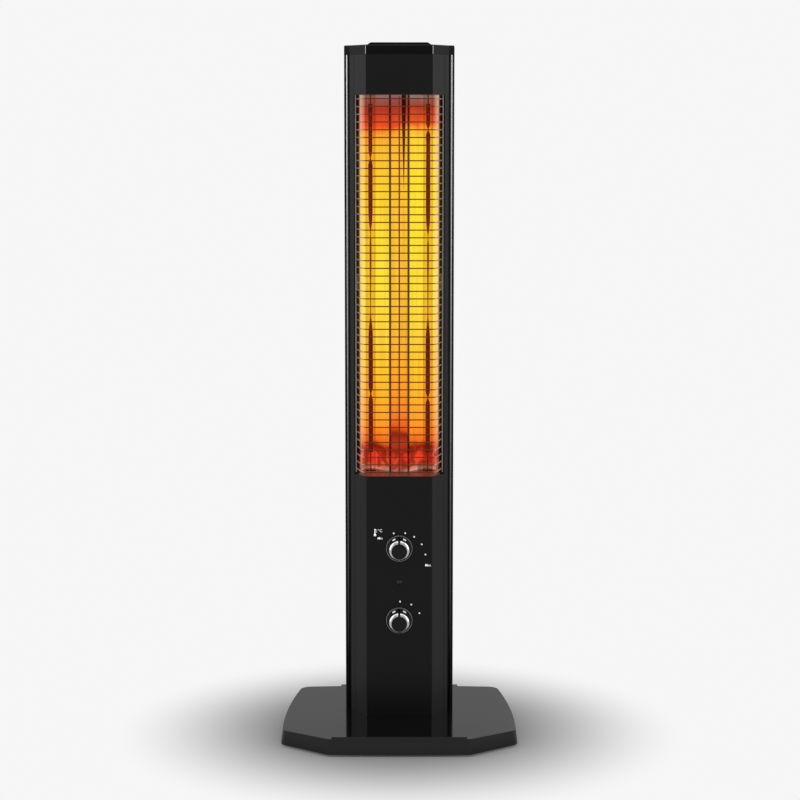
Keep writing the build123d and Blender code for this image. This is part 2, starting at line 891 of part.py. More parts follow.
def control_knob(z):
    """Hollow moulded knob with a wide skirt, a hub for the shaft and a flat face."""
    face = knob_length - ring_depth
    outline = turned(
        (0, face), (knob_face, face), (knob_waist, knob_skirt_top), (knob_skirt, knob_skirt_top),
        (knob_skirt, knob_lift), (0, knob_lift),
    )
    hollow = raised(RegularPolygon(knob_face - knob_wall, 12), 0, 12)
    hub = raised(RegularPolygon(shaft_radius + 2.4, 8), bushing_length + 0.7, 14)
    knob = outline - hollow + hub
    knob -= shaft_form(shaft_radius + 0.05, shaft_flat - 0.05, 0, shaft_reach + 0.3)
    pointer = block(-notch_width / 2, notch_width / 2, knob_waist - 1.6, knob_skirt, 1.6, 2 * knob_length)
    return facing_front(knob - pointer, 0, front_y, z)


def knob_ring(z):
    """Bright rim pressed on the knob's face, cut through at the pointer."""
    ring = Cylinder(ring_outer, ring_depth) - Cylinder(ring_inner, 2 * ring_depth)
    ring -= block(-notch_width / 2, notch_width / 2, 0, ring_outer + 1, -ring_depth, ring_depth)
    return facing_front(Pos(0, 0, knob_length - ring_depth / 2) * ring, 0, front_y, z)


def indicator_lens():
    dome = turned(
        (0, -6), (lamp_hole - 0.1, -6), (lamp_hole - 0.1, 0), (lens_rim, 0),
        (lens_rim - 0.8, 1.2), (0, 2.6),
    )
    return facing_front(dome, 0, front_y, indicator_height)


def indicator_body():
    """Capsule of the neon indicator, clipped on the lens behind the panel."""
    inner = 2 * lamp_hole
    body = Box(inner + 3, inner + 3, 20, align=(Align.CENTER, Align.CENTER, Align.MAX))
    body -= Box(inner, inner, 2 * (6.2 - panel_wall))
    body += Pos(0, 0, -20) * Box(5, 0.8, 8)
    return facing_front(Pos(0, 0, -panel_wall) * body, 0, front_y, indicator_height)


# Rear inlet and wiring

def terminal_plate():
    half = flange_height
    plate = brace(terminal_height - half, terminal_height + half, brace_y)
    return notched(plate, terminal_height)


def terminal_block():
    """Five-way connector strip on the terminal plate."""
    width, depth, tall = terminal_size
    back = brace_y - brace_thickness
    low = terminal_height - tall / 2
    body = block(-width / 2, width / 2, back - depth, back, low, low + tall)
    ways = 5
    pitch = width / ways
    for i in range(ways):
        x = -width / 2 + pitch * (i + 0.5)
        body -= block(x - 2.5, x + 2.5, back - depth - 1, back - depth + 6, low + 3, low + tall - 3)
        if i:
            cut = x - pitch / 2
            body -= block(cut - 0.6, cut + 0.6, back - depth - 1, back - 8, low - 1, low + tall + 1)
    return body


def cable_gland():
    """Snap-in bush that lets the lead in through the rear cover."""
    bush = raised(RegularPolygon(gland_body, 16), -14, 9)
    bush += raised(RegularPolygon(gland_flange, 16), 0, 2.5)
    bush -= Cylinder(gland_bore, 60)
    return facing_rear(bush, gland_x, rear_y, gland_height)


def all_nodes():
    nodes = {
        "base_shell": base_shell(),
        "base_plate": base_plate(),
        "rubber_feet": rubber_feet(),
        "stiffener_plate": stiffener_plate(),
        "base_plate_screws": base_plate_screws(),
        "column_screws": column_screws(),
        "tilt_switch": tilt_switch(),
        "tilt_plunger": tilt_plunger(),
        "side_rail_right": side_rail(),
        "trim_strip_right": trim_strip(),
        "control_panel": control_panel(),
        "upper_fascia": upper_fascia(),
        "rear_cover": rear_cover(),
        "rear_cover_screws": rear_cover_screws(),
        "top_cap": top_cap(),
        "cap_screws": cap_screws(),
        "top_plate": top_plate(),
        "reflector": reflector(),
        "reflector_end_upper": reflector_end_upper(),
        "reflector_end_lower": reflector_end_lower(),
        "reflector_bracket": reflector_bracket(),
        "lamp_holders": lamp_holders(),
        "guard_grille": guard_grille(),
        "heat_shield": heat_shield(),
        "indicator_lens": indicator_lens(),
        "indicator_body": indicator_body(),
        "terminal_plate": terminal_plate(),
        "terminal_block": terminal_block(),
        "cable_gland": cable_gland(),
    }
    nodes["side_rail_left"] = flipped(nodes["side_rail_right"])
    nodes["trim_strip_left"] = flipped(nodes["trim_strip_right"])
    for name, side in (("left", -1), ("right", 1)):
        nodes["lamp_tube_" + name] = lamp_tube(side)
        nodes["carbon_ribbon_" + name] = carbon_ribbon(side)
    controls = (("thermostat", thermostat_height, thermostat_size), ("selector", selector_height, selector_size))
    for name, z, size in controls:
        nodes[name + "_body"] = control_body(size, z)
        nodes[name + "_nut"] = control_nut(z)
        nodes[name + "_shaft"] = control_shaft(z)
        nodes[name + "_knob"] = control_knob(z)
        nodes[name + "_knob_ring"] = knob_ring(z)
    return nodes


os.makedirs("parts", exist_ok=True)
for name, shape in all_nodes().items():
    export_step(shape, "parts/" + name + ".step")
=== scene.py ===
import math

import bpy
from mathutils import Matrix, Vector


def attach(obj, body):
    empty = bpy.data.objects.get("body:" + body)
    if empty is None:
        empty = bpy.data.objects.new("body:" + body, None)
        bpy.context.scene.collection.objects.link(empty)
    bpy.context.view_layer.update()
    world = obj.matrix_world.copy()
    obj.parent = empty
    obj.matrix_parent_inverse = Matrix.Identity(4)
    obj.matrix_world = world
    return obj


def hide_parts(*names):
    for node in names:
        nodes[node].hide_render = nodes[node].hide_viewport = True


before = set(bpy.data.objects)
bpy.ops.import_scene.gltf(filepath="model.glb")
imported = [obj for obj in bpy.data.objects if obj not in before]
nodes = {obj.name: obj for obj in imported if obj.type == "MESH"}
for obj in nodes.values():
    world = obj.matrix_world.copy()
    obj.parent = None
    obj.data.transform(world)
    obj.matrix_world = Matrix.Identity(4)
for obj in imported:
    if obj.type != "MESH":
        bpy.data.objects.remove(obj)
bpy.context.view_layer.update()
print("frame loaded")

mm = 0.001


def linearColour(hexCode):
    # sRGB hex to the linear values that shaders want
    channels = [int(hexCode[i:i + 2], 16) / 255 for i in (1, 3, 5)]
    return [c / 12.92 if c <= 0.04045 else ((c + 0.055) / 1.055) ** 2.4 for c in channels] + [1.0]


def addNode(tree, kind, settings=None):
    # one node with its settings and links; a node given as a setting is linked by its first output
    node = tree.nodes.new(kind)
    for name, value in (settings or {}).items():
        if isinstance(value, bpy.types.Node):
            value = value.outputs[0]
        if isinstance(value, bpy.types.NodeSocket):
            tree.links.new(value, node.inputs[name])
        elif isinstance(name, int) or name in node.inputs:
            node.inputs[name].default_value = value
        else:
            setattr(node, name, value)
    return node


def newMaterial(name):
    # an empty material, and the place on the object that its pattern follows
    material = bpy.data.materials.new(name)
    material.use_nodes = True
    tree = material.node_tree
    tree.nodes.clear()
    return material, tree, addNode(tree, "ShaderNodeTexCoord").outputs["Object"]


def deselectAll():
    if bpy.context.mode != "OBJECT":
        bpy.ops.object.mode_set(mode="OBJECT")
    bpy.ops.object.select_all(action="DESELECT")


def pickOnly(piece):
    deselectAll()
    piece.select_set(True)
    bpy.context.view_layer.objects.active = piece


def settle(piece, name):
    # name the piece and put its place into its mesh
    pickOnly(piece)
    bpy.ops.object.transform_apply(location=True, rotation=True, scale=True)
    piece.name = name
    piece.data.name = name
    return piece


def giveMaterial(piece, material):
    piece.data.materials.clear()
    piece.data.materials.append(material)


# camera: in front of the heater and slightly above its middle, as in the photograph
view = {
    "distance": 2.970, "height": 0.8423, "side": 0.001, "pitch": 7.158,
    "sensor": 36, "focalPixels": 2150, "widthPixels": 800, "reach": 50,
}


def addCamera():
    bpy.ops.object.camera_add(location=(view["side"], -view["distance"], view["height"]))
    camera = bpy.context.object
    camera.name = "photoCamera"
    camera.rotation_euler = (math.radians(90 - view["pitch"]), 0, 0)
    camera.data.sensor_width = view["sensor"]
    camera.data.lens = view["focalPixels"] / view["widthPixels"] * view["sensor"]
    camera.data.clip_end = view["reach"]
    bpy.context.scene.camera = camera


addCamera()
bpy.context.scene.view_settings.view_transform = "Standard"
print("camera placed")


# studio: white seamless floor and sky, soft boxes at both sides and a darker zone in front, so that
# the glossy black faces stay dark and only the slanted ones catch the light
studio = {
    "floorHex": "#8f8f90", "floorSize": 60, "shadeNear": 0.13, "shadeFar": 0.41, "glowShare": 0.03,
    "floorGloss": 0.5, "skyHex": "#f6f6f6", "ambient": 0.75, "frontGloss": 0.3, "sideGloss": 1.0,
    "glossFrom": 0.35, "glossTo": 0.95, "backShare": 0.52, "target": (0, 0, 0.55),
}

# soft lamps: name, place, size and power
softLamps = (
    ("softboxLeft", (-1.9, -0.5, 1.1), (0.7, 1.9), 9),
    ("softboxRight", (1.9, -0.5, 1.1), (0.7, 1.9), 9),
    ("softboxTop", (0, -0.2, 2.6), (1.8, 1.8), 7),
    ("fillFront", (0, -3.4, 1.9), (1.6, 1.0), 2),
    ("fillBack", (0.9, 2.6, 1.5), (1.2, 1.6), 6),
)


def areaLight(name, place, size, energy):
    bpy.ops.object.light_add(type="AREA", location=place)
    lamp = bpy.context.object
    lamp.name = name
    lamp.data.shape = "RECTANGLE"
    lamp.data.size, lamp.data.size_y = size
    lamp.data.energy = energy
    away = Vector(place) - Vector(studio["target"])
    lamp.rotation_euler = away.to_track_quat("Z", "Y").to_euler()


def cameraRays(tree, withGloss):
    # 1 for rays that show the background: seen directly, through glass or in a mirror
    ray = addNode(tree, "ShaderNodeLightPath").outputs
    seen = addNode(tree, "ShaderNodeMath", {
        "operation": "MAXIMUM", 0: ray["Is Camera Ray"], 1: ray["Is Transmission Ray"]})
    if withGloss:
        seen = addNode(tree, "ShaderNodeMath", {"operation": "MAXIMUM", 0: seen, 1: ray["Is Glossy Ray"]})
    return seen, ray["Is Glossy Ray"]


def addFloor():
    bpy.ops.mesh.primitive_plane_add(size=studio["floorSize"], location=(0, 0, 0))
    floor = bpy.context.object
    floor.name = "studioFloor"
    material, tree, place = newMaterial("white seamless paper")
    pale = linearColour(studio["skyHex"])
    # paper that is darker close to the heater: the real cast shadow, plus a painted shadow pool that fades
    # with distance into plain white
    reach = addNode(tree, "ShaderNodeVectorMath", {"operation": "LENGTH", 0: place}).outputs["Value"]
    # painted shadow pool: the floor turns from lit grey paper to plain white with distance from the heater
    far = addNode(tree, "ShaderNodeMapRange", {
        "interpolation_type": "SMOOTHSTEP", "Value": reach,
        "From Min": studio["shadeNear"], "From Max": studio["shadeFar"]})
    seen, glossy = cameraRays(tree, True)
    fade = addNode(tree, "ShaderNodeMath", {"operation": "MULTIPLY", 0: far, 1: seen})
    share = addNode(tree, "ShaderNodeMath", {"operation": "MULTIPLY", 0: seen, 1: studio["glowShare"]})
    matt = addNode(tree, "ShaderNodeBsdfDiffuse", {"Color": linearColour(studio["floorHex"])})
    lift = addNode(tree, "ShaderNodeEmission", {"Color": pale, "Strength": share})
    near = addNode(tree, "ShaderNodeAddShader", {0: matt, 1: lift})
    plain = addNode(tree, "ShaderNodeMapRange", {
        "Value": glossy, "To Min": 1.0, "To Max": studio["floorGloss"]})
    white = addNode(tree, "ShaderNodeEmission", {"Color": pale, "Strength": plain})
    mixed = addNode(tree, "ShaderNodeMixShader", {0: fade, 1: near, 2: white})
    addNode(tree, "ShaderNodeOutputMaterial", {"Surface": mixed})
    giveMaterial(floor, material)


def addSky():
    world = bpy.data.worlds.new("studioSky")
    bpy.context.scene.world = world
    world.use_nodes = True
    sky = world.node_tree
    sky.nodes.clear()
    heading = addNode(sky, "ShaderNodeTexCoord").outputs["Generated"]
    parts = addNode(sky, "ShaderNodeSeparateXYZ", {"Vector": heading}).outputs
    # mirrored light comes from the sides and above, some of it from behind and little from the front
    sides = addNode(sky, "ShaderNodeMath", {"operation": "ABSOLUTE", 0: parts["X"]})
    bright = addNode(sky, "ShaderNodeMath", {"operation": "MAXIMUM", 0: sides, 1: parts["Z"]})
    behind = addNode(sky, "ShaderNodeMath", {"operation": "MULTIPLY", 0: parts["Y"], 1: studio["backShare"]})
    bright = addNode(sky, "ShaderNodeMath", {"operation": "MAXIMUM", 0: bright, 1: behind})
    boxes = addNode(sky, "ShaderNodeMapRange", {
        "interpolation_type": "SMOOTHSTEP", "Value": bright,
        "From Min": studio["glossFrom"], "From Max": studio["glossTo"],
        "To Min": studio["frontGloss"], "To Max": studio["sideGloss"]})
    seen, glossy = cameraRays(sky, False)
    mirrored = addNode(sky, "ShaderNodeMix", {"Factor": glossy, "A": studio["ambient"], "B": boxes})
    strength = addNode(sky, "ShaderNodeMix", {"Factor": seen, "A": mirrored, "B": 1.0})
    light = addNode(sky, "ShaderNodeBackground", {
        "Color": linearColour(studio["skyHex"]), "Strength": strength})
    addNode(sky, "ShaderNodeOutputWorld", {"Surface": light})


addFloor()
addSky()
for lamp in softLamps:
    areaLight(*lamp)
print("studio lit")


# how far a finish's colour and gloss wander, and over how many millimetres
wander = {
    "tint": 0.15, "tintSize": 40, "gloss": 0.15, "glossSize": 12, "peel": 0.6, "ior": 1.5,
    "metalLeast": 0.7, "metalMost": 1.4,
}


def speckle(tree, place, size, low, high):
    # a value that wanders between two limits, over a real size in millimetres
    noise = addNode(tree, "ShaderNodeTexNoise", {"Vector": place, "Scale": 1 / (size * mm), "Detail": 3.0})
    return addNode(tree, "ShaderNodeMapRange", {"Value": noise, "To Min": low, "To Max": high})


def mouldedFinish(name, colourHex, rough, grain, depth, specular=0.5, emitted=0.0):
    # moulded or lacquered surface: even colour, faint clouding in the gloss, fine orange peel, and an
    # optional painted glow in its own colour
    material, tree, place = newMaterial(name)
    colour = linearColour(colourHex)
    tint = speckle(tree, place, wander["tintSize"], 1 - wander["tint"], 1 + wander["tint"])
    shade = addNode(tree, "ShaderNodeVectorMath", {"operation": "SCALE", 0: colour[:3], "Scale": tint})
    sheen = speckle(
        tree, place, wander["glossSize"], rough * (1 - wander["gloss"]), rough * (1 + wander["gloss"]))
    peel = addNode(tree, "ShaderNodeTexNoise", {
        "Vector": place, "Scale": 1 / (grain * mm), "Detail": 2.0})
    bump = addNode(tree, "ShaderNodeBump", {
        "Height": peel, "Strength": wander["peel"], "Distance": depth * mm})
    surface = addNode(tree, "ShaderNodeBsdfPrincipled", {
        "Base Color": shade, "Roughness": sheen, "Normal": bump, "IOR": wander["ior"],
        "Specular IOR Level": specular, "Emission Color": colour, "Emission Strength": emitted})
    addNode(tree, "ShaderNodeOutputMaterial", {"Surface": surface})
    material.diffuse_color = colour
    return material


def metalFinish(name, colourHex, rough, grain, stretch=(1, 1, 1)):
    # metal: the colour lives in the reflection, with fine drawn or ground marks in the roughness
    material, tree, place = newMaterial(name)
    colour = linearColour(colourHex)
    drawn = addNode(tree, "ShaderNodeMapping", {"Vector": place, "Scale": stretch})
    sheen = speckle(tree, drawn, grain, rough * wander["metalLeast"], rough * wander["metalMost"])
    surface = addNode(tree, "ShaderNodeBsdfPrincipled", {
        "Base Color": colour, "Metallic": 1.0, "Roughness": sheen})
    addNode(tree, "ShaderNodeOutputMaterial", {"Surface": surface})
    material.diffuse_color = colour
    return material


# satin powder coat on aluminium and steel sheet: a soft broad sheen, no sharp reflection
powderCoat = mouldedFinish("satin black powder coat", "#0b0b0c", 0.34, 0.9, 0.003, specular=0.3)
# injection-moulded ABS with a polished face: dark mirror that picks up the pale studio
glossAbs = mouldedFinish("polished black ABS", "#0a0a0a", 0.1, 6.0, 0.001, specular=0.52)
# the cap is a duller grade of the same plastic
dullAbs = mouldedFinish("dull black ABS", "#0a0a0a", 0.24, 3.0, 0.002, specular=0.16)
# thermoset knobs: satin, a little warmer than the panel
satinKnob = mouldedFinish("satin black phenolic", "#0e0e0f", 0.36, 0.6, 0.004, specular=0.35)
# housings and the lead bush: dull grey, no mirror at all
darkMoulding = mouldedFinish("dark grey glass-filled nylon", "#2b2b2d", 0.55, 0.8, 0.02)
# feet: dry black that swallows the light
footRubber = mouldedFinish("black rubber", "#161616", 0.8, 1.5, 0.05)
# lamp holders: chalky cream ceramic
steatite = mouldedFinish("unglazed steatite", "#e2ddd0", 0.75, 1.2, 0.03)
# polished chrome plate on the rims and strips
chromePlate = metalFinish("polished chrome plate", "#f2f2f4", 0.16, 3.0, (1, 1, 0.05))
# darkened chrome ring on the knobs' skirt edges, standing in for the highlight on the rounded edge
skirtHighlightChrome = metalFinish("darkened chrome for the skirt highlight", "#b4b4b6", 0.2, 3.0)
# blackened heads sink into the black covers and only glint
blackScrew = metalFinish("blackened screw steel", "#1e1e20", 0.42, 1.0)
# hidden sheet and the screws underneath: plain grey metal with a soft shine
zincSheet = metalFinish("zinc-plated steel sheet", "#9c9fa3", 0.38, 8.0)
screwSteel = metalFinish("zinc-plated screw steel", "#a9abae", 0.3, 1.0)
print("plain finishes made")

# aluminium reflector with the lamps' light painted on as a glow: amber along the troughs, redder towards
# both ends where the strips stop, painted paler at the outer edges, with painted dark lines where the sheet
# is folded
glow = {
    "heights": (0.366, 0.890), "strength": 1.0, "metalHex": "#3a2418", "rough": 0.42,
    "along": ((0.0, "#b08070"), (0.014, "#b03c28"), (0.035, "#c4341a"), (0.062, "#96200c"),
              (0.078, "#f06a20"), (0.12, "#ff9a26"), (0.25, "#ffc02c"), (0.45, "#ffe03a"),
              (0.78, "#ffe232"), (0.885, "#ffd030"), (0.912, "#ffb42c"), (0.928, "#ee5824"),
              (0.968, "#b03a24"), (0.985, "#94564a"), (1.0, "#8a7a76")),
    # streaks of the brushed sheet: 5 mm across and a hand's width tall
    "streakSize": 5, "streakStretch": (1, 1, 0.05), "streakFrom": (0.3, 0.7), "streaks": (0.86, 1.06),
    "waveSize": 22, "drift": 0.012,
    # shares of the height over which the painted glow reddens on the left lamp and on the ridge
    "leftSide": (0.006, -0.01), "upperPart": (0.5, 0.85), "late": 0.14, "lateTint": 0.6,
    "lowerPart": (0.32, 0.14), "aboveEnd": (0.05, 0.07), "early": 0.042,
    "ridge": (0.010, 0.015), "ridgeTint": (1.0, 0.72, 0.8),
    "edgeHex": "#e6bc98", "edge": (0.046, 0.055), "edgeShare": 0.7, "edgeRise": (0.02, 0.2),
    "edgeLeast": 0.25,
    # painted shade: dark lines at the outer lips and along the folds
    "lip": (0.0535, 0.0555), "lipLevel": 0.03,
    "foldX": 0.0128, "fold": (0.0009, 0.0021), "foldLevel": 0.06,
    # painted reflection: one strip's top mirrored as a dark wedge on the ridge
    "wedgeX": 0.0062, "wedgeHeights": (0.757, 0.885), "wedgeHalf": 0.0032, "wedgeLevel": 0.04,
    # painted glints low down on the reflector
    "glintSize": 15, "glintTwist": 0.4, "glintFrom": (0.44, 0.64), "glints": (0.7, 1.7),
    "glintHeights": (0.075, 0.06),
}


def glowShares(tree, place):
    # height on the reflector, distance from its middle and how far along the painted glow has faded
    parts = addNode(tree, "ShaderNodeSeparateXYZ", {"Vector": place}).outputs
    aside = addNode(tree, "ShaderNodeMath", {"operation": "ABSOLUTE", 0: parts["X"]})
    height = addNode(tree, "ShaderNodeMapRange", {
        "clamp": False, "Value": parts["Z"],
        "From Min": glow["heights"][0], "From Max": glow["heights"][1]})
    waves = addNode(tree, "ShaderNodeTexNoise", {
        "Vector": place, "Scale": 1 / (glow["waveSize"] * mm), "Detail": 2.0})
    drift = addNode(tree, "ShaderNodeMapRange", {
        "Value": waves, "To Min": -glow["drift"], "To Max": glow["drift"]})
    along = addNode(tree, "ShaderNodeMath", {"operation": "ADD", 0: height, 1: drift})
    # the painted glow reddens over a longer stretch at the top of the left lamp
    left = addNode(tree, "ShaderNodeMapRange", {
        "Value": parts["X"], "From Min": glow["leftSide"][0], "From Max": glow["leftSide"][1]})
    upper = addNode(tree, "ShaderNodeMapRange", {
        "interpolation_type": "SMOOTHSTEP", "Value": height,
        "From Min": glow["upperPart"][0], "From Max": glow["upperPart"][1]})
    late = addNode(tree, "ShaderNodeMath", {"operation": "MULTIPLY", 0: left, 1: upper})
    squeeze = addNode(tree, "ShaderNodeMapRange", {
        "Value": late, "To Min": 1.0, "To Max": 1.0 - glow["late"]})
    short = addNode(tree, "ShaderNodeMath", {"operation": "SUBTRACT", 0: 1.0, 1: along})
    short = addNode(tree, "ShaderNodeMath", {"operation": "MULTIPLY", 0: short, 1: squeeze})
    along = addNode(tree, "ShaderNodeMath", {"operation": "SUBTRACT", 0: 1.0, 1: short})
    # the painted glow on the ridge between the troughs reddens sooner at the bottom
    ridge = addNode(tree, "ShaderNodeMapRange", {
        "interpolation_type": "SMOOTHSTEP", "Value": aside,
        "From Min": glow["ridge"][0], "From Max": glow["ridge"][1], "To Min": 1.0, "To Max": 0.0})
    lower = addNode(tree, "ShaderNodeMapRange", {
        "Value": height, "To Min": 0.0, "To Max": glow["early"],
        "From Min": glow["lowerPart"][0], "From Max": glow["lowerPart"][1]})
    above = addNode(tree, "ShaderNodeMapRange", {
        "Value": height, "From Min": glow["aboveEnd"][0], "From Max": glow["aboveEnd"][1]})
    early = addNode(tree, "ShaderNodeMath", {"operation": "MULTIPLY", 0: ridge, 1: lower})
    early = addNode(tree, "ShaderNodeMath", {"operation": "MULTIPLY", 0: early, 1: above})
    along = addNode(tree, "ShaderNodeMath", {"operation": "SUBTRACT", 0: along, 1: early})
    return parts, aside, height, along, late, ridge


def glowHue(tree, aside, height, along, late, ridge):
    # painted glow colours along the height, redder at the ridge and top left, painted paler at the outer
    # edges
    ramp = addNode(tree, "ShaderNodeValToRGB", {"Fac": along})
    stops = ramp.color_ramp.elements
    for spot, (share, hexCode) in enumerate(glow["along"]):
        stop = stops[spot] if spot < 2 else stops.new(share)
        stop.position = share
        stop.color = linearColour(hexCode)
    warm = addNode(tree, "ShaderNodeMath", {"operation": "MULTIPLY", 0: late, 1: glow["lateTint"]})
    warm = addNode(tree, "ShaderNodeMath", {"operation": "MAXIMUM", 0: warm, 1: ridge})
    redder = addNode(tree, "ShaderNodeVectorMath", {
        "operation": "MULTIPLY", 0: ramp, 1: glow["ridgeTint"]})
    inner = addNode(tree, "ShaderNodeMix", {"data_type": "RGBA", 0: warm, 6: ramp, 7: redder}).outputs[2]
    outer = addNode(tree, "ShaderNodeMapRange", {
        "interpolation_type": "SMOOTHSTEP", "Value": aside, "To Min": 0.0, "To Max": glow["edgeShare"],
        "From Min": glow["edge"][0], "From Max": glow["edge"][1]})
    rise = addNode(tree, "ShaderNodeMapRange", {
        "interpolation_type": "SMOOTHSTEP", "Value": height, "To Min": glow["edgeLeast"], "To Max": 1.0,
        "From Min": glow["edgeRise"][0], "From Max": glow["edgeRise"][1]})
    outer = addNode(tree, "ShaderNodeMath", {"operation": "MULTIPLY", 0: outer, 1: rise})
    return addNode(tree, "ShaderNodeMix", {
        "data_type": "RGBA", 0: outer, 6: inner, 7: linearColour(glow["edgeHex"])}).outputs[2]


def glowLevel(tree, place, parts, aside, height):
    # painted reflection: the ridge mirrors the top of one strip as a dark wedge
    wedge = addNode(tree, "ShaderNodeMapRange", {
        "Value": parts["Z"], "To Min": 0.0, "To Max": glow["wedgeHalf"],
        "From Min": glow["wedgeHeights"][0], "From Max": glow["wedgeHeights"][1]})
    beside = addNode(tree, "ShaderNodeMath", {"operation": "SUBTRACT", 0: parts["X"], 1: glow["wedgeX"]})
    beside = addNode(tree, "ShaderNodeMath", {"operation": "ABSOLUTE", 0: beside})
    beyond = addNode(tree, "ShaderNodeMath", {"operation": "GREATER_THAN", 0: beside, 1: wedge})
    dark = addNode(tree, "ShaderNodeMapRange", {
        "Value": beyond, "To Min": glow["wedgeLevel"], "To Max": 1.0})
    # painted shade: dark lines along the two folds and the outer lips
    off = addNode(tree, "ShaderNodeMath", {"operation": "SUBTRACT", 0: aside, 1: glow["foldX"]})
    off = addNode(tree, "ShaderNodeMath", {"operation": "ABSOLUTE", 0: off})
    fold = addNode(tree, "ShaderNodeMapRange", {
        "interpolation_type": "SMOOTHSTEP", "Value": off, "To Min": glow["foldLevel"], "To Max": 1.0,
        "From Min": glow["fold"][0], "From Max": glow["fold"][1]})
    lip = addNode(tree, "ShaderNodeMapRange", {
        "interpolation_type": "SMOOTHSTEP", "Value": aside, "To Min": 1.0, "To Max": glow["lipLevel"],
        "From Min": glow["lip"][0], "From Max": glow["lip"][1]})
    # upright streaks of the brushed sheet
    drawn = addNode(tree, "ShaderNodeMapping", {"Vector": place, "Scale": glow["streakStretch"]})
    brushed = addNode(tree, "ShaderNodeTexNoise", {
        "Vector": drawn, "Scale": 1 / (glow["streakSize"] * mm), "Detail": 2.0})
    streaks = addNode(tree, "ShaderNodeMapRange", {
        "Value": brushed, "To Min": glow["streaks"][0], "To Max": glow["streaks"][1],
        "From Min": glow["streakFrom"][0], "From Max": glow["streakFrom"][1]})
    # painted glints where the lamps' cold ends are mirrored low down
    crinkle = addNode(tree, "ShaderNodeTexNoise", {
        "Vector": place, "Scale": 1 / (glow["glintSize"] * mm), "Detail": 1.0,
        "Distortion": glow["glintTwist"]})
    glints = addNode(tree, "ShaderNodeMapRange", {
        "Value": crinkle, "To Min": glow["glints"][0], "To Max": glow["glints"][1],
        "From Min": glow["glintFrom"][0], "From Max": glow["glintFrom"][1]})
    low = addNode(tree, "ShaderNodeMapRange", {
        "Value": height, "From Min": glow["glintHeights"][0], "From Max": glow["glintHeights"][1]})
    glints = addNode(tree, "ShaderNodeMix", {"Factor": low, "A": 1.0, "B": glints})
    level = fold
    for share in (streaks, dark, lip, glints):
        level = addNode(tree, "ShaderNodeMath", {"operation": "MULTIPLY", 0: level, 1: share})
    return level


# painted light: the emission stands in for the lamps' light on the reflector, which is no lamp itself
def reflectorPaintedGlow():
    material, tree, place = newMaterial("aluminium reflector with painted glow")
    parts, aside, height, along, late, ridge = glowShares(tree, place)
    hue = glowHue(tree, aside, height, along, late, ridge)
    level = glowLevel(tree, place, parts, aside, height)
    light = addNode(tree, "ShaderNodeVectorMath", {"operation": "SCALE", 0: hue, "Scale": level})
    surface = addNode(tree, "ShaderNodeBsdfPrincipled", {
        "Base Color": linearColour(glow["metalHex"]), "Metallic": 1.0, "Roughness": glow["rough"],
        "Emission Color": light, "Emission Strength": glow["strength"]})
    addNode(tree, "ShaderNodeOutputMaterial", {"Surface": surface})
    return material


wireLook = {
    "bright": (0.046, 0.055), "blurSize": 9, "blur": 0.002,
    "roughSize": 2, "rough": (0.2, 0.4), "metal": 0.7,
    "brownHex": "#5e2a10", "silverHex": "#c9c7c4", "brownPaintedGlow": "#40200a", "silverPaintedGlow": "#5e5a57",
}


def wireFinish():
    # stainless wire, brown in front of the lamps and still bright at its ends, under a painted glow that
    # keeps the front brown and lights the ends grey
    material, tree, place = newMaterial("brown and silver stainless wire with painted glow")
    parts = addNode(tree, "ShaderNodeSeparateXYZ", {"Vector": place}).outputs
    aside = addNode(tree, "ShaderNodeMath", {"operation": "ABSOLUTE", 0: parts["X"]})
    blur = speckle(tree, place, wireLook["blurSize"], -wireLook["blur"], wireLook["blur"])
    aside = addNode(tree, "ShaderNodeMath", {"operation": "ADD", 0: aside, 1: blur})
    tint = addNode(tree, "ShaderNodeMapRange", {
        "interpolation_type": "SMOOTHSTEP", "Value": aside,
        "From Min": wireLook["bright"][0], "From Max": wireLook["bright"][1]})
    tinted = addNode(tree, "ShaderNodeMix", {
        "data_type": "RGBA", 0: tint, 6: linearColour(wireLook["brownHex"]),
        7: linearColour(wireLook["silverHex"])}).outputs[2]
    # painted light: the wire glows in its own colours though it is no lamp
    paintedWireGlow = addNode(tree, "ShaderNodeMix", {
        "data_type": "RGBA", 0: tint, 6: linearColour(wireLook["brownPaintedGlow"]),
        7: linearColour(wireLook["silverPaintedGlow"])}).outputs[2]
    sheen = speckle(tree, place, wireLook["roughSize"], *wireLook["rough"])
    surface = addNode(tree, "ShaderNodeBsdfPrincipled", {
        "Base Color": tinted, "Metallic": wireLook["metal"], "Roughness": sheen,
        "Emission Color": paintedWireGlow, "Emission Strength": 1.0})
    addNode(tree, "ShaderNodeOutputMaterial", {"Surface": surface})
    return material


quartzLook = {
    "clearHex": "#fdf6f0", "glossHex": "#8a8683", "hazeSize": 6, "haze": (0.04, 0.12), "ior": 1.2,
    "rimShare": 0.25,
}


def quartzFinish():
    # clear fused quartz, thin walled: almost unseen but for faint highlights along its sides
    material, tree, place = newMaterial("clear fused quartz")
    clear = addNode(tree, "ShaderNodeBsdfTransparent", {"Color": linearColour(quartzLook["clearHex"])})
    haze = speckle(tree, place, quartzLook["hazeSize"], *quartzLook["haze"])
    gloss = addNode(tree, "ShaderNodeBsdfGlossy", {
        "Color": linearColour(quartzLook["glossHex"]), "Roughness": haze})
    rim = addNode(tree, "ShaderNodeFresnel", {"IOR": quartzLook["ior"]})
    rim = addNode(tree, "ShaderNodeMath", {"operation": "MULTIPLY", 0: rim, 1: quartzLook["rimShare"]})
    mixed = addNode(tree, "ShaderNodeMixShader", {0: rim, 1: clear, 2: gloss})
    addNode(tree, "ShaderNodeOutputMaterial", {"Surface": mixed})
    return material


trimLook = {
    "heights": (0.1, 0.95), "darkHex": "#1d1d1e", "brightHex": "#d6d6d6", "stretch": (1, 1, 0.03),
    "grain": 0.6, "rough": (0.26, 0.34),
}


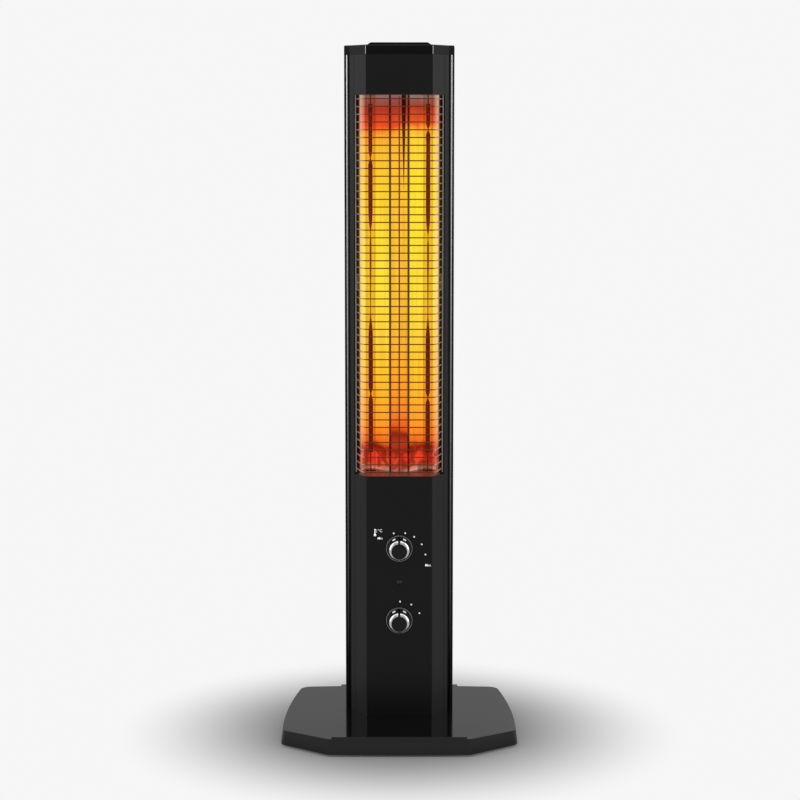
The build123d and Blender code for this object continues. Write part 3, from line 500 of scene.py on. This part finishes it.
def trimFinish():
    # smoked chrome strip with a painted reflection: bright near the top and painted darker lower down
    material, tree, place = newMaterial("smoked chrome strip")
    parts = addNode(tree, "ShaderNodeSeparateXYZ", {"Vector": place}).outputs
    rise = addNode(tree, "ShaderNodeMapRange", {
        "Value": parts["Z"], "From Min": trimLook["heights"][0], "From Max": trimLook["heights"][1]})
    # painted reflection: brighter towards the top, darker lower down
    paintedFade = addNode(tree, "ShaderNodeMix", {
        "data_type": "RGBA", 0: rise, 6: linearColour(trimLook["darkHex"]),
        7: linearColour(trimLook["brightHex"])}).outputs[2]
    drawn = addNode(tree, "ShaderNodeMapping", {"Vector": place, "Scale": trimLook["stretch"]})
    sheen = speckle(tree, drawn, trimLook["grain"], *trimLook["rough"])
    surface = addNode(tree, "ShaderNodeBsdfPrincipled", {
        "Base Color": paintedFade, "Metallic": 1.0, "Roughness": sheen})
    addNode(tree, "ShaderNodeOutputMaterial", {"Surface": surface})
    return material


paintedGlowReflector = reflectorPaintedGlow()
quartz = quartzFinish()
guardSteel = wireFinish()
smokedChromePaintedFade = trimFinish()
# carbon fibre strip between the rods: dark maroon where it is seen against the hot metal
carbonStrip = mouldedFinish("woven carbon strip", "#8a2a10", 0.6, 0.8, 0.02)
# neon lens, off: deep red with a hard gloss
redLens = mouldedFinish("red polycarbonate", "#300a0e", 0.12, 4.0, 0.002)
# screen-printed ink, dense and matt, with a painted glow that brightens it; the knobs' painted highlight
# dashes use it too
whiteInkAndHighlight = mouldedFinish("white print ink with painted glow", "#f4f4f4", 0.6, 0.5, 0.004, emitted=0.35)
print("special finishes made")

finishes = {
    "powderCoat": powderCoat, "glossAbs": glossAbs, "dullAbs": dullAbs, "satinKnob": satinKnob,
    "darkMoulding": darkMoulding, "footRubber": footRubber, "steatite": steatite,
    "chromePlate": chromePlate, "guardSteel": guardSteel, "zincSheet": zincSheet,
    "screwSteel": screwSteel, "paintedGlowAluminium": paintedGlowReflector, "quartz": quartz,
    "carbonStrip": carbonStrip, "redLens": redLens, "smokedChromePaintedFade": smokedChromePaintedFade,
}

# which finish each carried-over part of the heater has
finishOf = {
    "base_shell": "glossAbs", "base_plate": "zincSheet", "rubber_feet": "footRubber",
    "stiffener_plate": "zincSheet", "base_plate_screws": "screwSteel", "column_screws": "screwSteel",
    "tilt_switch": "darkMoulding", "tilt_plunger": "darkMoulding",
    "side_rail_left": "powderCoat", "side_rail_right": "powderCoat",
    "trim_strip_left": "smokedChromePaintedFade", "trim_strip_right": "smokedChromePaintedFade",
    "control_panel": "powderCoat", "upper_fascia": "powderCoat", "rear_cover": "powderCoat",
    "rear_cover_screws": "screwSteel", "top_cap": "dullAbs", "cap_screws": "screwSteel",
    "top_plate": "dullAbs", "reflector": "paintedGlowAluminium", "reflector_end_upper": "zincSheet",
    "reflector_end_lower": "zincSheet", "reflector_bracket": "zincSheet", "lamp_holders": "steatite",
    "guard_grille": "guardSteel", "heat_shield": "zincSheet", "indicator_lens": "redLens",
    "indicator_body": "darkMoulding", "terminal_plate": "zincSheet", "terminal_block": "darkMoulding",
    "cable_gland": "darkMoulding", "lamp_tube_left": "quartz", "lamp_tube_right": "quartz",
    "carbon_ribbon_left": "carbonStrip", "carbon_ribbon_right": "carbonStrip",
    "thermostat_body": "darkMoulding", "selector_body": "darkMoulding",
    "thermostat_nut": "screwSteel", "selector_nut": "screwSteel",
    "thermostat_shaft": "screwSteel", "selector_shaft": "screwSteel",
    "thermostat_knob": "satinKnob", "selector_knob": "satinKnob",
    "thermostat_knob_ring": "chromePlate", "selector_knob_ring": "chromePlate",
}

for nodeName, finishName in finishOf.items():
    giveMaterial(bpy.data.objects[nodeName], finishes[finishName])
print("finishes given to the carried-over parts")


# shared ways of making a piece
def block(size, place):
    # a box to be shaped or cut with, in millimetres
    deselectAll()
    bpy.ops.mesh.primitive_cube_add(size=mm, location=[value * mm for value in place], scale=size)
    bpy.ops.object.transform_apply(location=True, rotation=True, scale=True)
    return bpy.context.object


def rounded(piece, width, segments, least):
    applyModifier(
        piece, "BEVEL", width=width * mm, segments=segments, limit_method="ANGLE", angle_limit=least)


def startPoint(radius, height):
    # a plane merged to one point, ready to be pulled along an outline
    deselectAll()
    bpy.ops.mesh.primitive_plane_add(size=mm, location=(0, 0, 0))
    piece = bpy.context.object
    bpy.ops.object.mode_set(mode="EDIT")
    bpy.ops.mesh.select_all(action="SELECT")
    bpy.ops.mesh.merge(type="CENTER")
    bpy.ops.transform.translate(value=(radius * mm, 0, height * mm))
    return piece


def pullAlong(points):
    # pull the chosen point through the outline, in millimetres
    for before, after in zip(points, points[1:]):
        step = [(b - a) * mm for a, b in zip(before, after)]
        bpy.ops.mesh.extrude_region_move(TRANSFORM_OT_translate={"value": step})


# points closer than this, in millimetres, become one
weldGap = 0.002


def cleanSkin(smoothAngle=35):
    # merged, pointing outwards and smooth but for the real edges
    bpy.ops.object.mode_set(mode="EDIT")
    bpy.ops.mesh.select_all(action="SELECT")
    bpy.ops.mesh.remove_doubles(threshold=weldGap * mm)
    bpy.ops.mesh.normals_make_consistent(inside=False)
    bpy.ops.object.mode_set(mode="OBJECT")
    bpy.ops.object.shade_smooth_by_angle(angle=math.radians(smoothAngle))


def spun(name, outline, steps=64):
    # outline of (radius, height) in millimetres, spun about the upright axis
    piece = startPoint(*outline[0])
    pullAlong([(radius, 0, height) for radius, height in outline])
    bpy.ops.mesh.select_all(action="SELECT")
    bpy.ops.mesh.spin(steps=steps, angle=2 * math.pi, center=(0, 0, 0), axis=(0, 0, 1))
    cleanSkin()
    piece.name = name
    return piece


def applyModifier(piece, kind, **settings):
    pickOnly(piece)
    modifier = piece.modifiers.new(kind.lower(), kind)
    for name, value in settings.items():
        setattr(modifier, name, value)
    bpy.ops.object.modifier_apply(modifier=modifier.name)


def cutAway(piece, cutter):
    applyModifier(piece, "BOOLEAN", operation="DIFFERENCE", object=cutter, solver="EXACT")
    bpy.data.objects.remove(cutter, do_unlink=True)


def placed(piece, name, place, turn=(0, 0, 0)):
    # put a piece at its place in millimetres and settle it into the mesh
    piece.location = [value * mm for value in place]
    piece.rotation_euler = [math.radians(value) for value in turn]
    return settle(piece, name)


def copied(piece):
    twin = piece.copy()
    twin.data = piece.data.copy()
    bpy.context.collection.objects.link(twin)
    return twin


def joined(parts, name):
    deselectAll()
    for part in parts:
        part.select_set(True)
    bpy.context.view_layer.objects.active = parts[0]
    bpy.ops.object.join()
    parts[0].name = name
    parts[0].data.name = name
    return parts[0]


def finished(piece, body, material, standsFor=()):
    giveMaterial(piece, material)
    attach(piece, body)
    if standsFor:
        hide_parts(*standsFor)


# degrees between faces: flat enough to merge, sharp enough to ease and still shaded as one
ease = {"flat": 0.5, "least": 28, "smooth": 50, "weight": 100}


def softened(nodeName, width, material, steps=2):
    # the carried-over part with its sharp edges eased, so that they catch the light
    source = nodes[nodeName]
    piece = bpy.data.objects.new(nodeName + "Eased", source.data.copy())
    bpy.context.collection.objects.link(piece)
    pickOnly(piece)
    bpy.ops.object.mode_set(mode="EDIT")
    bpy.ops.mesh.select_all(action="SELECT")
    bpy.ops.mesh.remove_doubles(threshold=weldGap * mm)
    bpy.ops.mesh.dissolve_limited(angle_limit=math.radians(ease["flat"]))
    bpy.ops.object.mode_set(mode="OBJECT")
    applyModifier(
        piece, "BEVEL", width=width * mm, segments=steps, limit_method="ANGLE",
        angle_limit=math.radians(ease["least"]), use_clamp_overlap=True, harden_normals=False)
    pickOnly(piece)
    bpy.ops.object.shade_smooth_by_angle(angle=math.radians(ease["smooth"]))
    applyModifier(piece, "WEIGHTED_NORMAL", keep_sharp=True, weight=ease["weight"])
    finished(piece, "heater", material, [nodeName])


# guard of bent wires
guard = {
    "wireRadius": 0.8, "bendRadius": 9.0, "cornerX": 50.7, "endX": 60.4, "frontY": -25.6,
    "endY": 14.45, "pitch": 10.47, "count": 50, "lowest": 371.5, "sides": 8, "bendSteps": 5,
    "postLow": 364.5, "postHigh": 891.5, "postRadius": 1.0, "postSides": 12,
    # where the posts lie against the wires' ends and behind their front
    "postAside": 0.2, "postBehind": 0.9, "middleY": -27.5, "middlePast": 3, "mirrorGap": 0.01,
}


def guardWire():
    # right half: along the front, round the bend and back along the leg, then mirrored
    lean = math.atan2(guard["endX"] - guard["cornerX"], guard["endY"] - guard["frontY"])
    turn = math.pi / 2 - lean
    start = guard["cornerX"] - guard["bendRadius"] * math.tan(turn / 2)
    deselectAll()
    bpy.ops.mesh.primitive_circle_add(
        vertices=guard["sides"], radius=guard["wireRadius"] * mm, fill_type="NOTHING",
        location=(0, guard["frontY"] * mm, 0), rotation=(0, math.pi / 2, 0))
    wire = bpy.context.object
    bpy.ops.object.transform_apply(location=True, rotation=True, scale=True)
    bpy.ops.object.mode_set(mode="EDIT")
    bpy.ops.mesh.select_all(action="SELECT")
    bpy.ops.mesh.extrude_region_move(TRANSFORM_OT_translate={"value": (start * mm, 0, 0)})
    bpy.ops.mesh.spin(
        steps=guard["bendSteps"], angle=-turn, axis=(0, 0, 1),
        center=(start * mm, (guard["frontY"] + guard["bendRadius"]) * mm, 0))
    bent = (start + guard["bendRadius"] * math.sin(turn),
            guard["frontY"] + guard["bendRadius"] * (1 - math.cos(turn)))
    leg = ((guard["endX"] - bent[0]) * mm, (guard["endY"] - bent[1]) * mm, 0)
    bpy.ops.mesh.extrude_region_move(TRANSFORM_OT_translate={"value": leg})
    bpy.ops.mesh.edge_face_add()
    bpy.ops.object.mode_set(mode="OBJECT")
    applyModifier(wire, "MIRROR", use_axis=(True, False, False), merge_threshold=guard["mirrorGap"] * mm)
    pickOnly(wire)
    cleanSkin(smoothAngle=60)
    return wire


def guardPost(x, y, low, high):
    deselectAll()
    bpy.ops.mesh.primitive_cylinder_add(
        vertices=guard["postSides"], radius=guard["postRadius"] * mm, depth=(high - low) * mm,
        location=(x * mm, y * mm, (low + high) / 2 * mm))
    post = bpy.context.object
    rounded(post, width=0.3, segments=2, least=1.0)
    pickOnly(post)
    bpy.ops.object.transform_apply(location=True, rotation=True, scale=True)
    bpy.ops.object.shade_smooth_by_angle(angle=math.radians(40))
    return post


def makeGuard():
    wires = guardWire()
    wires.location.z = guard["lowest"] * mm
    settle(wires, "guardWires")
    applyModifier(
        wires, "ARRAY", count=guard["count"], use_relative_offset=False, use_constant_offset=True,
        constant_offset_displace=(0, 0, guard["pitch"] * mm))
    sideX, sideY = guard["endX"] + guard["postAside"], guard["endY"] + guard["postBehind"]
    sides = [guardPost(side * sideX, sideY, guard["postLow"], guard["postHigh"]) for side in (-1, 1)]
    highest = guard["lowest"] + (guard["count"] - 1) * guard["pitch"]
    middle = guardPost(
        0, guard["middleY"], guard["lowest"] - guard["middlePast"], highest + guard["middlePast"])
    piece = joined([wires, middle] + sides, "guardBasket")
    finished(piece, "heater", guardSteel, ["guard_grille"])


makeGuard()
print("guard wires bent and welded")


# reflector with two troughs
reflectorShape = {
    "line": [(12.8, 17.0), (33.5, 46.0), (47.5, 46.0), (56.5, 9.0)], "corner": 3.0,
    "cornerSteps": 4, "low": 366.0, "high": 890.0, "sheet": 0.8,
}


def makeReflector():
    right = reflectorShape["line"]
    whole = [(-x, y) for x, y in reversed(right)] + right
    piece = startPoint(0, 0)
    bpy.ops.transform.translate(value=(whole[0][0] * mm, whole[0][1] * mm, reflectorShape["low"] * mm))
    pullAlong([(x, y, 0) for x, y in whole])
    bpy.ops.mesh.select_all(action="SELECT")
    bpy.ops.mesh.bevel(
        offset=reflectorShape["corner"] * mm, affect="VERTICES", segments=reflectorShape["cornerSteps"],
        offset_type="OFFSET")
    bpy.ops.mesh.select_all(action="SELECT")
    rise = (reflectorShape["high"] - reflectorShape["low"]) * mm
    bpy.ops.mesh.extrude_region_move(TRANSFORM_OT_translate={"value": (0, 0, rise)})
    bpy.ops.object.mode_set(mode="OBJECT")
    applyModifier(piece, "SOLIDIFY", thickness=reflectorShape["sheet"] * mm, offset=0)
    pickOnly(piece)
    cleanSkin(smoothAngle=30)
    settle(piece, "reflectorTroughs")
    finished(piece, "heater", paintedGlowReflector, ["reflector"])


makeReflector()
print("reflector folded")


# carbon strips inside the tubes
strip = {
    "width": 6.2, "thick": 0.5, "low": 392.0, "high": 878.0, "x": 40.0, "y": 26.0, "steps": 110,
    "sway": 0.12, "swayRate": 19,
    "rodRadius": 0.8, "rodSides": 12, "rodInside": 4, "rodAbove": 20, "rodBelow": 34,
}
# each turn of a strip: where it is from the top, how far it turns and how quickly
stripTurns = {
    "left": ((0.16, 180, 0.07), (0.35, 75, 0.10), (0.64, 75, 0.10), (0.83, 180, 0.06)),
    "right": ((0.08, 180, 0.06), (0.36, 75, 0.10), (0.65, 75, 0.10), (0.84, 180, 0.06)),
}


def stripTurn(name, share):
    turn = strip["sway"] * math.sin(share * strip["swayRate"])
    for centre, angle, span in stripTurns[name]:
        done = min(max((share - centre) / span + 0.5, 0), 1)
        turn += math.radians(angle) * done * done * (3 - 2 * done)
    return turn


def makeStrip(name, side):
    # a thin band pulled upwards in short steps, each turned a little about the tube's axis
    deselectAll()
    bpy.ops.mesh.primitive_plane_add(size=mm, location=(0, 0, 0))
    piece = bpy.context.object
    piece.scale = (strip["width"], strip["thick"], 1)
    bpy.ops.object.transform_apply(location=True, rotation=True, scale=True)
    piece.location.z = strip["low"] * mm
    bpy.ops.object.transform_apply(location=True, rotation=True, scale=True)
    bpy.ops.object.mode_set(mode="EDIT")
    bpy.ops.mesh.select_all(action="SELECT")
    step = (strip["high"] - strip["low"]) / strip["steps"]
    for count in range(strip["steps"]):
        before = stripTurn(name, 1 - count / strip["steps"])
        after = stripTurn(name, 1 - (count + 1) / strip["steps"])
        bpy.ops.mesh.extrude_region_move(TRANSFORM_OT_translate={"value": (0, 0, step * mm)})
        bpy.ops.transform.rotate(value=side * (after - before), orient_axis="Z", center_override=(0, 0, 0))
    cleanSkin(smoothAngle=40)
    rods = []
    radius, inside = strip["rodRadius"], strip["rodInside"]
    for low, high in ((strip["high"] - inside, strip["high"] + strip["rodAbove"]),
                      (strip["low"] - strip["rodBelow"], strip["low"] + inside)):
        rods.append(spun("rod", [(0, low), (radius, low), (radius, high), (0, high)], strip["rodSides"]))
    whole = joined([piece] + rods, "carbonStrip" + name.capitalize())
    placed(whole, whole.name, (side * strip["x"], strip["y"], 0))
    finished(whole, "heater", carbonStrip, ["carbon_ribbon_" + name])


makeStrip("left", -1)
makeStrip("right", 1)
print("carbon strips twisted")


# knobs with their bright rims
knob = {
    "body": [(0, 0.8), (17.9, 0.8), (18.3, 1.1), (18.3, 2.1), (18.0, 2.5), (16.0, 2.8), (15.2, 3.2),
             (14.8, 4.2), (14.3, 9.0), (13.7, 17.4), (13.4, 17.8), (12.9, 18.8), (12.6, 19.3), (12.2, 19.5),
             (6.0, 19.9), (0, 20.0)],
    "rim": [(0, 17.6), (0, 21.0), (11.3, 21.0), (12.2, 20.7), (13.3, 19.8), (14.1, 18.7), (14.3, 17.9),
            (13.8, 17.6), (0, 17.6)],
    # the face's hole in the rim, set lower than the rim's middle
    "hole": 10.9, "drop": 1.1, "holeHeight": 20, "holeDepth": 12, "rimEase": 0.25,
    # ring on the skirt's edge that stands in for its highlight
    "edge": [(17.4, 2.1), (18.2, 2.1), (18.3, 2.4), (18.1, 2.7), (17.6, 2.75), (17.4, 2.1)],
    # gap for the pointer, in the rim and in the skirt: from and to along the radius, then in height
    "gap": 3.2, "rimGap": (8.0, 16.0, 15, 30), "skirtGap": (14.0, 19.0, 1.7, 30), "steps": 96,
    # painted highlights: two white dashes near the top of the skirt
    "dash": (4.4, 1.0, 4.6), "dashRadius": 15.0, "dashHeight": 5.4, "dashAngles": (-30, 30),
    "heights": {"thermostat": 265.0, "selector": 163.0}, "frontY": -28.6,
}


def knobGap(low, high, bottom, top):
    return block((knob["gap"], high - low, top - bottom), (0, (low + high) / 2, (bottom + top) / 2))


def makeKnobs():
    body = spun("knobBody", knob["body"], knob["steps"])
    cutAway(body, knobGap(*knob["skirtGap"]))
    rim = spun("knobRim", knob["rim"], knob["steps"])
    deselectAll()
    bpy.ops.mesh.primitive_cylinder_add(
        vertices=knob["steps"], radius=knob["hole"] * mm, depth=knob["holeDepth"] * mm,
        location=(0, -knob["drop"] * mm, knob["holeHeight"] * mm))
    cutAway(rim, bpy.context.object)
    rounded(rim, knob["rimEase"], segments=2, least=math.radians(50))
    cutAway(rim, knobGap(*knob["rimGap"]))
    pickOnly(rim)
    cleanSkin(smoothAngle=40)
    # a darkened chrome ring on the skirt's edge stands in for the highlight of its rounded edge
    edge = spun("knobEdge", knob["edge"], knob["steps"])
    # two white dashes near the top of each skirt are painted highlights, in the print's white
    dashes = []
    for angle in knob["dashAngles"]:
        dash = block(knob["dash"], (0, knob["dashRadius"], knob["dashHeight"]))
        rounded(dash, width=0.3, segments=2, least=0.5)
        dashes.append(placed(dash, "dash", (0, 0, 0), (0, 0, angle)))
    mark = joined(dashes, "knobDashes")
    for control, height in knob["heights"].items():
        # the outlines stand on +Z, which points to the front once the knob is in place
        for part, label, slot, material, standsFor in (
                (body, "KnobBody", "black_knob", satinKnob, [control + "_knob"]),
                (rim, "KnobRim", "bright_trim", chromePlate, [control + "_knob_ring"]),
                (edge, "KnobEdgeHighlight", "black_knob", skirtHighlightChrome, []),
                (mark, "KnobHighlightDashes", "steel", whiteInkAndHighlight, [])):
            piece = placed(copied(part), control + label, (0, knob["frontY"], height), (90, 0, 0))
            finished(piece, control + "_control", material, standsFor)
    for part in (body, rim, edge, mark):
        bpy.data.objects.remove(part, do_unlink=True)


makeKnobs()
print("knobs turned")


# neon indicator
lens = {
    "dome": [(0, -6.0), (3.4, -6.0), (3.4, 0.0), (4.3, 0.0), (4.4, 0.4), (3.9, 1.1), (3.2, 1.3), (3.0, 1.1),
             (2.8, 1.5), (2.0, 2.3), (1.0, 2.55), (0, 2.6)],
    "height": 216.5,
}


def makeLens():
    dome = spun("indicatorDome", lens["dome"], steps=48)
    placed(dome, "indicatorDome", (0, knob["frontY"], lens["height"]), (90, 0, 0))
    finished(dome, "heater", redLens, ["indicator_lens"])


makeLens()
print("indicator set in")


# printed marks round the knobs
marks = {
    "ink": 0.08, "dot": 1.15, "dotSides": 20, "frontY": -28.6, "bolder": 0.04,
    "upper": {"centre": (1.1, 251.6), "ring": 35.6, "angles": (-14.4, 11.6, 33.5, 57.8, 82.5)},
    "lower": {"centre": (1.1, 159.0), "ring": 30.5, "angles": (0, 30.8, 62.6)},
    "words": (("Min", -26.7, 279.0, 4.9), ("Max", 40.0, 241.0, 4.9), ("°C", -26.6, 289.6, 5.5)),
    # thermometer sign: its place, then dots (rise, radius), and bars (aside, rise, width, height)
    "gauge": (-33.8, 287.2), "gaugeDots": ((-3.4, 1.8), (4.4, 0.8)),
    "gaugeBars": ((0, 0.8, 1.6, 7.2), (2.2, 0.4, 1.5, 0.6), (2.2, 2.2, 1.5, 0.6), (2.2, 4.0, 1.5, 0.6)),
}


def inkDot(x, z, radius):
    deselectAll()
    bpy.ops.mesh.primitive_cylinder_add(
        vertices=marks["dotSides"], radius=radius * mm, depth=marks["ink"] * mm,
        rotation=(math.pi / 2, 0, 0),
        location=(x * mm, (marks["frontY"] - marks["ink"] / 2) * mm, z * mm))
    return settle(bpy.context.object, "inkDot")


def inkWord(text, x, z, size):
    deselectAll()
    bpy.ops.object.text_add(location=(0, 0, 0))
    word = bpy.context.object
    word.data.body = text
    word.data.size = size * mm
    word.data.align_x = "CENTER"
    word.data.align_y = "CENTER"
    word.data.extrude = marks["ink"] / 2 * mm
    word.data.offset = marks["bolder"] * mm
    bpy.ops.object.convert(target="MESH")
    word = bpy.context.object
    return placed(word, "inkWord", (x, marks["frontY"] - marks["ink"] / 2, z), (90, 0, 0))


def inkBar(x, z, width, tall):
    return settle(block((width, marks["ink"], tall), (x, marks["frontY"] - marks["ink"] / 2, z)), "inkBar")


def makeMarks():
    parts = []
    for group in (marks["upper"], marks["lower"]):
        for angle in group["angles"]:
            x = group["centre"][0] + group["ring"] * math.sin(math.radians(angle))
            z = group["centre"][1] + group["ring"] * math.cos(math.radians(angle))
            parts.append(inkDot(x, z, marks["dot"]))
    for text, x, z, size in marks["words"]:
        parts.append(inkWord(text, x, z, size))
    x, z = marks["gauge"]
    parts += [inkDot(x, z + rise, radius) for rise, radius in marks["gaugeDots"]]
    parts += [inkBar(x + aside, z + rise, width, tall) for aside, rise, width, tall in marks["gaugeBars"]]
    piece = joined(parts, "panelPrint")
    finished(piece, "heater", whiteInkAndHighlight)


makeMarks()
print("panel printed")


# screws with cross recesses
screw = {
    "outline": [(0, -9.0), (1.2, -9.0), (1.55, -8.4), (1.55, 0.0), (3.4, 0.0), (3.55, 0.4), (3.1, 1.3),
                (2.2, 1.75), (0, 1.8)],
    "top": 1.8, "recess": (3.6, 0.8, 1.2), "past": 1.0,
    "coverX": 67.4, "coverY": 67.5, "coverHeights": (92.0, 356.0, 628.0, 900.0),
    "capX": 70.6, "capY": (13.2, 54.0), "capZ": 955.5,
    "plate": [(72, -119, 4.0), (-72, -119, 4.0), (60, 119, 4.0), (-60, 119, 4.0)],
}


def makeScrew():
    piece = spun("panScrew", screw["outline"], steps=32)
    length, width, deep = screw["recess"]
    for across, along in ((length, width), (width, length)):
        height = screw["top"] - deep / 2 + screw["past"] / 2
        cutAway(piece, block((across, along, deep + screw["past"]), (0, 0, height)))
    pickOnly(piece)
    bpy.ops.object.shade_smooth_by_angle(angle=math.radians(35))
    return piece


def screwSet(master, name, places, turn, nodeName, material):
    copies = [placed(copied(master), name, place, turn) for place in places]
    finished(joined(copies, name), "heater", material, [nodeName])


master = makeScrew()
coverPlaces = [
    (side * screw["coverX"], screw["coverY"], z) for z in screw["coverHeights"] for side in (-1, 1)]
capPlaces = [(side * screw["capX"], y, screw["capZ"]) for y in screw["capY"] for side in (-1, 1)]
screwSet(master, "coverScrews", coverPlaces, (-90, 0, 0), "rear_cover_screws", blackScrew)
screwSet(master, "capScrews", capPlaces, (0, 0, 0), "cap_screws", blackScrew)
screwSet(master, "plateScrews", screw["plate"], (180, 0, 0), "base_plate_screws", screwSteel)
bpy.data.objects.remove(master, do_unlink=True)
print("screws placed")


# lead bush at the back
bush = {
    "outline": [(4.5, -14), (6.6, -14), (7.0, -13.4), (7.0, 0), (9.6, 0), (10.0, 0.5), (10.0, 2.0),
                (9.5, 2.5), (7.6, 3.0), (6.6, 8.4), (6.0, 9.0), (4.9, 9.0), (4.5, 8.6), (4.5, -14)],
    "place": (44.0, 71.4, 62.0),
}
collar = spun("leadBush", bush["outline"], steps=48)
placed(collar, "leadBush", bush["place"], (-90, 0, 0))
finished(collar, "heater", darkMoulding, ["cable_gland"])
print("lead bush set in")


# housings with eased edges
softened("top_cap", 0.7, dullAbs)
softened("top_plate", 0.6, dullAbs)
softened("base_shell", 1.1, glossAbs, steps=3)
print("housings eased")


# chrome strips at the corners of the cap's front, standing in for the highlights on its rounded edges
glintStrip = {"x": 45.4, "frontY": -28.6, "low": 944.6, "high": 955.6, "width": 1.1, "deep": 1.6, "ease": 0.3}


def makeCapGlintStrips():
    strips = []
    for side in (-1, 1):
        bar = settle(block(
            (glintStrip["width"], glintStrip["deep"], glintStrip["high"] - glintStrip["low"]),
            (side * glintStrip["x"], glintStrip["frontY"] + glintStrip["deep"] / 2, (glintStrip["low"] + glintStrip["high"]) / 2)),
            "capGlintStrip")
        rounded(bar, glintStrip["ease"], segments=3, least=0.5)
        pickOnly(bar)
        bpy.ops.object.shade_smooth_by_angle(angle=math.radians(60))
        strips.append(bar)
    finished(joined(strips, "capGlintStrips"), "heater", chromePlate)


makeCapGlintStrips()
print("cap inlays set")
